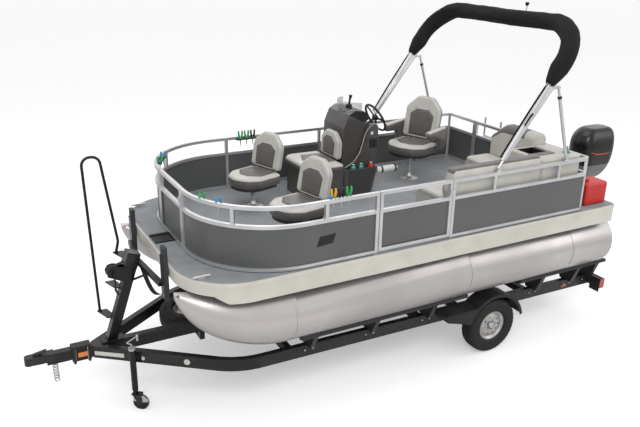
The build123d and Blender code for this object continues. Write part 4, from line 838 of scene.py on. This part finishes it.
# A folded strut lies between each pair of bows, and the rear props have a wider outer tube with a clamp.
for side, label in ((-1, "starboard"), (1, "port")):
    struts = []
    for fan in (0.0, 0.052, 0.092):
        run = [at(BOOT_MIDDLE - LEAN * share - 0.002 - fan * (0.25 + share), side * BOOT_HALF,
                  FOOT_Z + RISE * share) for share in (0.06, 0.30, 0.50, 0.68)]
        struts.append(tube_mesh("strut", run, STRUT_RADIUS, sides=16))
    dressed("rail_aluminium", "folded_struts_" + label, joined("struts", struts), "canopy", RAIL)
    low, high = at(0.345, side * BOOT_HALF, FOOT_Z), at(0.588, side * BOOT_HALF, 2.892)
    run = [low.lerp(high, share) for share in (0.05, 0.35, 0.65, 0.86)]
    sleeve = tube_mesh("sleeve", run, STRUT_RADIUS, sides=16)
    dressed("rail_aluminium", "prop_sleeve_" + label, sleeve, "prop_" + label, RAIL)
    run = [low.lerp(high, share) for share in (0.845, 0.85, 0.875, 0.88)]
    clamp = tube_mesh("clamp", run, [0.018, 0.022, 0.022, 0.018], sides=16)
    dressed("black_plastic", "prop_clamp_" + label, clamp, "prop_" + label, BLACK_PLASTIC_AND_SHADE)

# Black straps hang beside the legs, and a black ball tips the light pole.
for side, label in ((-1, "starboard"), (1, "port")):
    low = at(1.225, side * STRAP_Y, 2.235)
    high = at(BOOT_MIDDLE - 0.01 - LEAN * 0.62, side * STRAP_Y, FOOT_Z + RISE * 0.62)
    run = [low.lerp(high, k / STRAP_STEPS) + Vector((0.026 + 0.010 * sin(pi * k / STRAP_STEPS), 0, 0.022))
           for k in range(STRAP_STEPS + 1)]
    level = [(0, w, h) for w, h in rectangle(-0.013, 0, 0.013, WEB_THICK)]
    dressed("boot_fabric", "leg_strap_" + label, ribbon("leg_strap", run, level), "canopy", CANVAS)
tail = [at(0.915, 1.176, 2.665), at(0.955, 1.182, 2.640), at(0.990, 1.186, 2.600), at(1.020, 1.188, 2.560)]
slant = [(w * 0.6, t, w * 0.8) for w, t in rectangle(-0.012, 0, 0.012, WEB_THICK)]
dressed("boot_fabric", "strap_tail", ribbon("strap_tail", tail, slant), "canopy", CANVAS)
light = at(1.263 - LEAN - 0.020, 0.290, 3.628)
ball = turned_mesh("light_tip",
                   [(-0.030, 0.010), (-0.018, 0.019), (0.0, 0.022), (0.006, 0.020), (0.011, 0.004)],
                   Matrix.Translation(light), steps=20)
dressed("black_plastic", "light_tip", ball, "canopy", BLACK_PLASTIC_AND_SHADE)

# Wheels.


def tyre_mesh(name, place):
    """A road tyre: moulded sidewall, four grooves round the tread and cross cuts at its shoulders."""
    half = 0.0925
    steps = 144
    # Each point of the section is (radius, distance across).
    wall = [(0.1655, -0.060), (0.172, -0.072), (0.183, -0.0815), (0.205, -0.0885), (0.232, -0.0918),
            (0.258, -0.0912), (0.262, -0.0925), (0.266, -0.0912), (0.284, -0.0865), (0.296, -0.078)]
    ribs = [(0.3045, -0.072), (0.3095, -0.055), (0.3105, -0.052), (0.304, -0.0505), (0.304, -0.0465),
            (0.3115, -0.045), (0.3125, -0.022), (0.306, -0.0205), (0.306, -0.0165), (0.3130, -0.015),
            (0.3135, 0.0)]
    right = wall + ribs
    full = right + [(r, -w) for r, w in reversed(right[:-1])]
    full += [(0.163, 0.050), (0.163, -0.050)]
    rings = []
    for k in range(steps):
        angle = 2 * pi * k / steps
        ring = []
        for radius, across in full:
            size = radius
            if 0.050 < abs(across) < 0.0785 and radius > 0.29 and k % 4 == 0:
                size -= 0.006
            if abs(across) < 0.045 and radius > 0.309 and k % 4 == (0 if across > 0 else 2):
                size -= 0.0035
            ring.append(place @ Vector((cos(angle) * size, sin(angle) * size,
                                        max(-half, min(half, across)))))
        rings.append(ring)
    return smooth(loft_mesh(name, rings, round_trip=True), 32.0)


WHEEL_X = 1.040
TYRE_Y = 1.018
for label, side, body in (("port", 1, "wheel_port"), ("starboard", -1, "wheel_starboard")):
    hub = at(WHEEL_X, side * TYRE_Y, 0.314)
    place = facing(hub, (1, 0, 0), (0, side, 0))
    tyre = dressed("tyre", "road_tyre_" + label, tyre_mesh("tyre", place), body, TYRE)
    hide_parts("tyre_" + label)
    cap = turned_mesh("cap", [(0.036, 0.040), (0.060, 0.038), (0.070, 0.030), (0.073, 0.008)], place,
                      steps=28)
    dressed("galvanised", "hub_cap_" + label, cap, body, ZINC)
    nuts = []
    for k in range(5):
        turn = Matrix.Rotation(2 * pi * k / 5, 4, "Z") @ Matrix.Translation((0.054, 0, 0.0325))
        nuts.append(turned_mesh("nut", [(0.0, 0.011), (0.014, 0.011), (0.018, 0.007), (0.020, 0.002)],
                                place @ turn, steps=6))
    dressed("galvanised", "wheel_nuts_" + label, joined("nuts", nuts), body, ZINC)
SPARE = Matrix.Translation(at(3.970, -0.362, 0.483))
tyre = dressed("tyre", "spare_road_tyre", tyre_mesh("tyre", SPARE), BOAT, TYRE)
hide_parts("spare_tyre")

# Gates, fittings and lamps.

INNER_SHEET = 0.010
TRAILER_SIDE = 0.9005
for gate in ("side_gate", "bow_gate", "stern_gate"):
    low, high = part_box(gate)
    flat_y = (high.y - low.y) < (high.x - low.x)
    mid = (low + high) / 2

    def is_sheet(x, y, z, normal, low=low, high=high, flat_y=flat_y, mid=mid):
        """The thin sheet that closes the gate below its middle rail."""
        if not DECK_Z + 0.05 < z < MID_RAIL - 0.01:
            return False
        away = abs(y - mid.y) if flat_y else abs(x + FENCE_X - mid.x)
        along = (x + FENCE_X) if flat_y else y
        ends = (low.x, high.x) if flat_y else (low.y, high.y)
        return away < INNER_SHEET and ends[0] + 0.034 < along < ends[1] - 0.034

    recolour(gate, SHEET, is_sheet)

# The bow tray and the rail racks, the extinguisher, the lamp lenses, the hood, and the jack's steel parts.
recolour("deck_fittings", BLACK_PLASTIC_AND_SHADE, lambda x, y, z, n: (4.1 < x < 4.4 and abs(y) < 0.2) or (2.7 < x < 3.3))
recolour("deck_fittings", WHITE_ENAMEL, lambda x, y, z, n: 1.44 < x < 1.73 and z > 1.7)
recolour("tail_lights", LENS, lambda x, y, z, n: n.x < -0.5 or abs(n.y) > 0.9)
recolour("console", BLACK_PLASTIC_AND_SHADE, lambda x, y, z, n: 1.77 < x < 2.0 and y < -0.37 and z > 2.34)
recolour("jack_leg", ZINC, lambda x, y, z, n: z > 0.640)
recolour("jack_wheel", ZINC, lambda x, y, z, n: z > 0.085)

straps = [turned_mesh("band", [(-0.010, 0.0385), (-0.010, 0.0415), (0.010, 0.0415), (0.010, 0.0385)],
                      facing(at(x, -0.310, 1.788), (0, 1, 0), (1, 0, 0)), steps=24) for x in (1.478, 1.655)]
dressed("black_plastic", "extinguisher_straps", joined("straps", straps), BOAT, BLACK_PLASTIC_AND_SHADE)

# A blank slanted badge on the port panel, a blank label on the hinge sleeve, and two lamps of the trailer.
slanted = [(0.0, 0.0), (0.158, 0.012), (0.190, 0.098), (0.030, 0.090)]
ALONG_TONGUE, OFF_TONGUE = (-0.8, 0.6, 0), (0.6, 0.8, 0)
for name, slot, material, outline, thickness, bevel, place in (
        ("blank_badge", "black_plastic", BLACK_PLASTIC_AND_SHADE, slanted, 0.003, 0.001, to_port(3.282, 1.1715, 1.702)),
        ("blank_label", "cream", SKIRT, rectangle(0, 0, 0.29, 0.042), 0.001, 0.0004,
         facing(at(5.040, 0.0595, 0.500), ALONG_TONGUE, OFF_TONGUE)),
        ("red_side_marker", "lamp_red", LENS, rectangle(0, 0, 0.090, 0.034), 0.007, 0.002,
         to_port(-0.161, TRAILER_SIDE, 0.428)),
        ("amber_marker", "lamp_red", AMBER, rectangle(0, 0, 0.085, 0.048), 0.007, 0.002,
         to_port(5.187, 0.0485, 0.508))):
    dressed(slot, name, slab_mesh(name, outline, thickness, place, bevel), BOAT, material)

stickers = []
for x, y, z, radius in ((4.660, 0.343, 0.512, 0.020), (4.318, 0.599, 0.518, 0.030)):
    stickers.append(turned_mesh("sticker", [(0.0, radius), (0.0012, radius * 0.98), (0.0014, radius * 0.1)],
                                facing(at(x, y, z), ALONG_TONGUE, OFF_TONGUE), steps=24))
dressed("cream", "blank_stickers", joined("stickers", stickers), BOAT, SKIRT)

# Upright tubes close the fence's two aft corners.
corner_posts = []
for side in (-1, 1):
    foot = at(0.0318, side * 1.1532, DECK_Z + 0.010)
    turn = Matrix.Translation(foot) @ Matrix.Rotation(pi / 4, 4, "Z")
    corner_posts.append(slab_mesh("post", rectangle(-0.015, -0.015, 0.015, 0.015), 0.585, turn, 0.002))
dressed("rail_aluminium", "aft_corner_posts", joined("posts", corner_posts), BOAT, RAIL)

# Console fittings.


def dial(name, centre, out, radius):
    """A round gauge: black bezel and a pale face."""
    place = facing(centre, (1, 0, 0) if abs(out[0]) < 0.9 else (0, 1, 0), out)
    section = ((-0.002, 1.0), (0.004, 1.0), (0.006, 0.9), (0.004, 0.82), (0.0035, 0.1))
    profile = [(height, radius * share) for height, share in section]
    bezel = turned_mesh(name, profile, place, steps=28, finishes=[0, 0, 0, 1])
    dressed("black_plastic", name, bezel, BOAT, BLACK_PLASTIC_AND_SHADE, WHITE)


FIN_Y = -0.350
dial("fin_gauge", at(1.775, FIN_Y, 2.215), (0, 1, 0), 0.026)
panel = slab_mesh("switches", rectangle(0, 0, 0.092, 0.105), 0.006,
                  to_port(1.795, FIN_Y, 2.045), bevel=0.002)
dressed("black_plastic", "switch_panel", panel, BOAT, BLACK_PLASTIC_AND_SHADE)
rockers = []
for row in range(3):
    for column in range(2):
        place = to_port(1.785 - column * 0.043, FIN_Y + 0.006, 2.055 + row * 0.032)
        rockers.append(slab_mesh("rocker", rectangle(0, 0, 0.030, 0.022), 0.006, place, 0.002))
dressed("black_plastic", "rocker_switches", joined("rockers", rockers), BOAT, SHELL)

# Painted highlight: a light tube runs down the fin's forward edge to the tray, standing in for the highlight
# on that edge.
edge_highlight_line = [at(x, FIN_Y - 0.002, z) for x, z in (
    (1.690, 2.240), (1.700, 2.290), (1.726, 2.314), (1.754, 2.316), (1.790, 2.295), (1.832, 2.260),
    (1.862, 2.200), (1.884, 2.120), (1.925, 2.000), (1.985, 1.920), (2.050, 1.875), (2.110, 1.852))]
dressed("seat_vinyl", "fin_edge_highlight", tube_mesh("edge_highlight_line", edge_highlight_line, 0.006, sides=10), BOAT, PIPING_AND_HIGHLIGHT)

# The dash's own clocks lie on its sloped face, under the hood.
slope_out = (-0.86, 0.0, 0.50)
for number, y in enumerate((-0.52, -0.62, -0.72)):
    dial(f"dash_clock_{number}", at(1.826, y, 2.281), slope_out, 0.038)

THROTTLE_X, THROTTLE_Y = 1.955, -0.565
sections = [[at(THROTTLE_X + x, THROTTLE_Y + y, z) for x, y in rectangle(-long, -wide, long, wide)]
            for long, wide, z in ((0.035, 0.025, 2.455), (0.022, 0.020, 2.515))]
dressed("black_plastic", "throttle_box", smooth(loft_mesh("throttle", sections)), BOAT, BLACK_PLASTIC_AND_SHADE)
lever = tube_mesh("lever",
                  [at(x, THROTTLE_Y, z) for x, z in ((THROTTLE_X, 2.50), (1.947, 2.56), (1.935, 2.615))],
                  [0.014, 0.011, 0.020], sides=12)
dressed("black_plastic", "throttle_lever", lever, BOAT, BLACK_PLASTIC_AND_SHADE)


def bottle(name, centre, material, tall=1.0):
    """A small drinks bottle that stands in the tray."""
    place = Matrix.Translation(centre) @ Matrix.Scale(tall, 4, (0, 0, 1))
    profile = [(0.0, 0.026), (0.004, 0.030), (0.095, 0.030), (0.115, 0.024), (0.128, 0.013), (0.142, 0.013),
               (0.143, 0.015), (0.152, 0.015), (0.153, 0.003)]
    mesh = turned_mesh(name, profile, place, steps=24, finishes=[0] * 5 + [1] * 3)
    dressed("black_plastic", name, mesh, BOAT, material, WHITE)


TRAY_FLOOR = 1.8005
for number, (x, material) in enumerate(((2.03, TEAL), (1.93, TEAL), (1.80, RED))):
    bottle(f"tray_bottle_{number}", at(x, -0.303, TRAY_FLOOR), material, tall=0.62)
bottle("cup_bottle", at(0.190, LOUNGE_OUTER - 0.120, 2.0705), TEAL)

# Rail racks.


def pliers(name, centre, material, spread=0.018, drop=0.10, rise=0.092):
    """Fishing pliers hung through a rack: two coloured grips above, two thin jaws below."""
    meshes = []
    for side in (-1, 1):
        grip = [centre + Vector((side * spread * k, 0, h)) for k, h in
                ((0.35, 0.0), (0.9, rise * 0.3), (1.25, rise * 0.7), (1.1, rise))]
        meshes.append(tube_mesh("grip", grip, [0.006, 0.011, 0.011, 0.008], sides=10))
    dressed("black_plastic", name, joined(name, meshes), BOAT, material)
    line = [centre + Vector(step) for step in ((0, 0, 0.012), (0, 0, -drop * 0.5), (-0.004, 0, -drop))]
    jaw = tube_mesh("jaw", line, [0.007, 0.006, 0.002], sides=10)
    dressed("galvanised", name + "_jaw", jaw, BOAT, ZINC)


RACK_Z = RAIL_TOP - 0.018
RACK_Y = 1.121
BOW_X, BOW_Y, BOW_BEND = 3.385, 0.355, 0.775
for number, (x, side, material) in enumerate((
        (3.035, -1, GREEN_GRIP), (2.960, -1, GREEN_GRIP), (2.885, -1, BLACK_PLASTIC_AND_SHADE),
        (3.098, 1, YELLOW_GRIP), (3.020, 1, BLACK_PLASTIC_AND_SHADE), (2.942, 1, GREEN_GRIP))):
    pliers(f"pliers_{number}", at(x, side * RACK_Y, RACK_Z), material)
# Two short racks hold more of them at the bow corners of the top rail.
for side, label in ((-1, "starboard"), (1, "port")):
    plates = []
    for degree in (20, 27, 34):
        turn = radians(degree)
        spot = at(BOW_X + BOW_BEND * cos(turn), side * (BOW_Y + BOW_BEND * sin(turn)), RACK_Z - 0.020)
        heading = Matrix.Rotation(side * turn, 4, "Z")
        plates.append(slab_mesh("rack", rectangle(-0.022, -0.050, 0.022, 0.050), 0.012,
                                Matrix.Translation(spot) @ heading, 0.002))
        if degree != 27:
            pliers(f"corner_pliers_{label}_{degree}", spot + Vector((0, 0, 0.012)),
                   GREEN_GRIP if degree == 20 else BLUE_GRIP, rise=0.060)
    dressed("black_plastic", "corner_rack_" + label, joined("rack", plates), BOAT, BLACK_PLASTIC_AND_SHADE)
ball = turned_mesh("ball", [(-0.020, 0.004), (-0.014, 0.016), (0.0, 0.021), (0.014, 0.016), (0.020, 0.004)],
                   Matrix.Translation(at(3.128, RACK_Y, RACK_Z + 0.021)), steps=20)
dressed("black_plastic", "bead_ball", ball, BOAT, BLUE_GRIP)

# Trailer details.


def strap_ribbon(name, points, width, thickness=WEB_THICK):
    """Flat webbing along points, level across the boat."""
    rings = []
    for index, point in enumerate(points):
        ahead = (points[min(index + 1, len(points) - 1)] - points[max(index - 1, 0)]).normalized()
        up = ahead.cross(Vector((0, 1, 0))).normalized()
        rings.append([point + Vector((0, s * width / 2, 0)) + up * t for s, t in
                      ((-1, 0), (1, 0), (1, thickness), (-1, thickness))])
    return smooth(loft_mesh(name, rings), 50.0)


DRUM_RADIUS = 0.057
drum = at(4.797, 0, 1.295)
run = [drum + Vector((cos(a) * DRUM_RADIUS, 0, sin(a) * DRUM_RADIUS)) for a in
       (radians(d) for d in range(20, 111, 15))]
leave = run[-1]
run += [leave.lerp(at(4.690, 0, 1.372), k / 4) for k in range(1, 5)]
strap = strap_ribbon("strap", run, 0.046)
dressed("galvanised", "winch_strap", strap, BOAT, WEBBING)
LOOP_STEPS, LOOP_SAG = 16, 0.115
run = []
for k in range(LOOP_STEPS + 1):
    share = k / LOOP_STEPS
    point = at(4.545, 0.050, 1.360).lerp(at(4.480, 0.478, 1.205), share)
    run.append(point - Vector((0, 0, LOOP_SAG * sin(pi * share))))
loop = []
for index, point in enumerate(run):
    ahead = (run[min(index + 1, LOOP_STEPS)] - run[max(index - 1, 0)]).normalized()
    wide = Vector((1, 0, 0))
    wide = (wide - ahead * wide.dot(ahead)).normalized() * 0.020
    thick = ahead.cross(wide).normalized() * WEB_THICK
    loop.append([point - wide, point + wide, point + wide + thick, point - wide + thick])
dressed("galvanised", "bow_strap", smooth(loft_mesh("loop", loop), 60.0), BOAT, WEBBING)

bolts = []
for side in (-1, 1):
    for x in (-0.560, -0.250, 0.300, 1.810, 2.510, 3.200):
        for shift in (-0.045, 0.045):
            base = at(x, side * TRAILER_SIDE, 0.470 + 0.014 * x)
            place = facing(base + Vector((shift, 0, 0)), (1, 0, 0), (0, side, 0))
            bolts.append(turned_mesh("bolt", [(0.0, 0.010), (0.006, 0.010), (0.008, 0.007), (0.009, 0.001)],
                                     place, steps=6))
dressed("galvanised", "bracket_bolts", joined("bolts", bolts), BOAT, ZINC)

hoops = []
for x in (5.098, 5.208):
    corners = [(-0.052, 0.450, 0.012), (-0.052, 0.603, 0.012), (0.052, 0.603, 0.012), (0.052, 0.450, 0.012)]
    loop = [at(x, p.x, p.y) for p in even_outline(rounded_outline(corners, steps=4), 0.02)]
    hoops.append(ring_tube("hoop", loop, 0.004, sides=8))
dressed("galvanised", "hinge_hoops", joined("hoops", hoops), BOAT, ZINC)

accent = []
for side in (-1, 1):
    run = [at(x, side * y, z) for x, y, z in
           ((-1.205, 0.176, 1.772), (-1.25, 0.1865, 1.752), (-1.32, 0.1885, 1.737), (-1.40, 0.1885, 1.732),
            (-1.48, 0.1885, 1.735), (-1.56, 0.1825, 1.745))]
    accent.append(tube_mesh("accent", run, [0.003, 0.006, 0.007, 0.007, 0.006, 0.003], sides=8))
dressed("tank_red", "cowl_accent", joined("accent", accent), "motor", RED)

# Floor, light and camera.
FLOOR_GLOW = 0.34
WORLD_LEVEL = 0.62


def studio_surface(name, colour):
    """Pale studio paint that the eye and mirrors see as plain white."""
    material = bpy.data.materials.new(name)
    material.use_nodes = True
    tree = material.node_tree
    shader = tree.nodes["Principled BSDF"].inputs
    shader["Base Color"].default_value = (*colour, 1.0)
    shader["Roughness"].default_value = 0.9
    shader["Emission Color"].default_value = (1.0, 1.0, 1.0, 1.0)
    rays = node(tree, "LightPath").outputs
    put(tree, shader["Emission Strength"], math_node(tree, "MULTIPLY", rays["Is Camera Ray"], FLOOR_GLOW))
    return material


floor_mesh = bpy.data.meshes.new("studio_floor")
half = 60.0
floor_mesh.from_pydata([(x, y, 0) for x, y in rectangle(-half, -half, half, half)], [], [(0, 1, 2, 3)])
floor_mesh.materials.append(studio_surface("studio floor", (0.93, 0.93, 0.93)))
floor = bpy.data.objects.new("studio_floor", floor_mesh)
bpy.context.scene.collection.objects.link(floor)

world = bpy.data.worlds.new("studio")
world.use_nodes = True
bpy.context.scene.world = world
tree = world.node_tree
back = tree.nodes["Background"].inputs
back["Color"].default_value = (1.0, 1.0, 1.0, 1.0)
# What the eye, mirrors and clear pieces see is white, and what lights the boat is dimmer.
rays = node(tree, "LightPath").outputs
seen = math_node(tree, "MAXIMUM", rays["Is Camera Ray"], rays["Is Glossy Ray"])
seen = math_node(tree, "MAXIMUM", seen, rays["Is Transmission Ray"])
level = node(tree, "MapRange", Value=seen, To_Min=WORLD_LEVEL, To_Max=1.0)
put(tree, back["Strength"], level.outputs["Result"])


def softbox(name, where, target, power, width):
    """A large soft lamp."""
    lamp = bpy.data.lights.new(name, "AREA")
    lamp.energy = power
    lamp.size = width
    made = bpy.data.objects.new(name, lamp)
    made.location = where
    made.rotation_euler = (Vector(target) - Vector(where)).to_track_quat("-Z", "Y").to_euler()
    bpy.context.scene.collection.objects.link(made)


softbox("key", (5.0, 7.5, 8.5), (0, 0, 1.4), 400, 5.0)
softbox("fill", (-6.5, 5.0, 5.0), (0, 0, 1.2), 130, 5.0)
softbox("top", (0.0, -1.0, 9.0), (0, 0, 1.0), 190, 6.0)
softbox("rear", (-3.0, -7.5, 6.0), (0, 0, 1.2), 90, 5.0)

scene = bpy.context.scene
scene.view_settings.view_transform = "Standard"
camera_data = bpy.data.cameras.new("camera")
SENSOR, FOCAL_PIXELS, PHOTO_PIXELS = 36.0, 707.88, 640.0
camera_data.sensor_width = SENSOR
camera_data.lens = FOCAL_PIXELS / PHOTO_PIXELS * SENSOR
camera_data.clip_end = 200.0
camera = bpy.data.objects.new("camera", camera_data)
yaw, pitch, roll = -2.0760, -0.3584, 0.0196
ahead = Vector((cos(pitch) * cos(yaw), cos(pitch) * sin(yaw), sin(pitch)))
right = ahead.cross(Vector((0, 0, 1))).normalized()
above = right.cross(ahead)
camera_x = right * cos(roll) + above * sin(roll)
camera_y = above * cos(roll) - right * sin(roll)
turn = Matrix((camera_x, camera_y, -ahead)).transposed().to_4x4()
camera.matrix_world = Matrix.Translation(at(5.9991, 6.1293, 4.1329)) @ turn
bpy.context.scene.collection.objects.link(camera)
scene.camera = camera
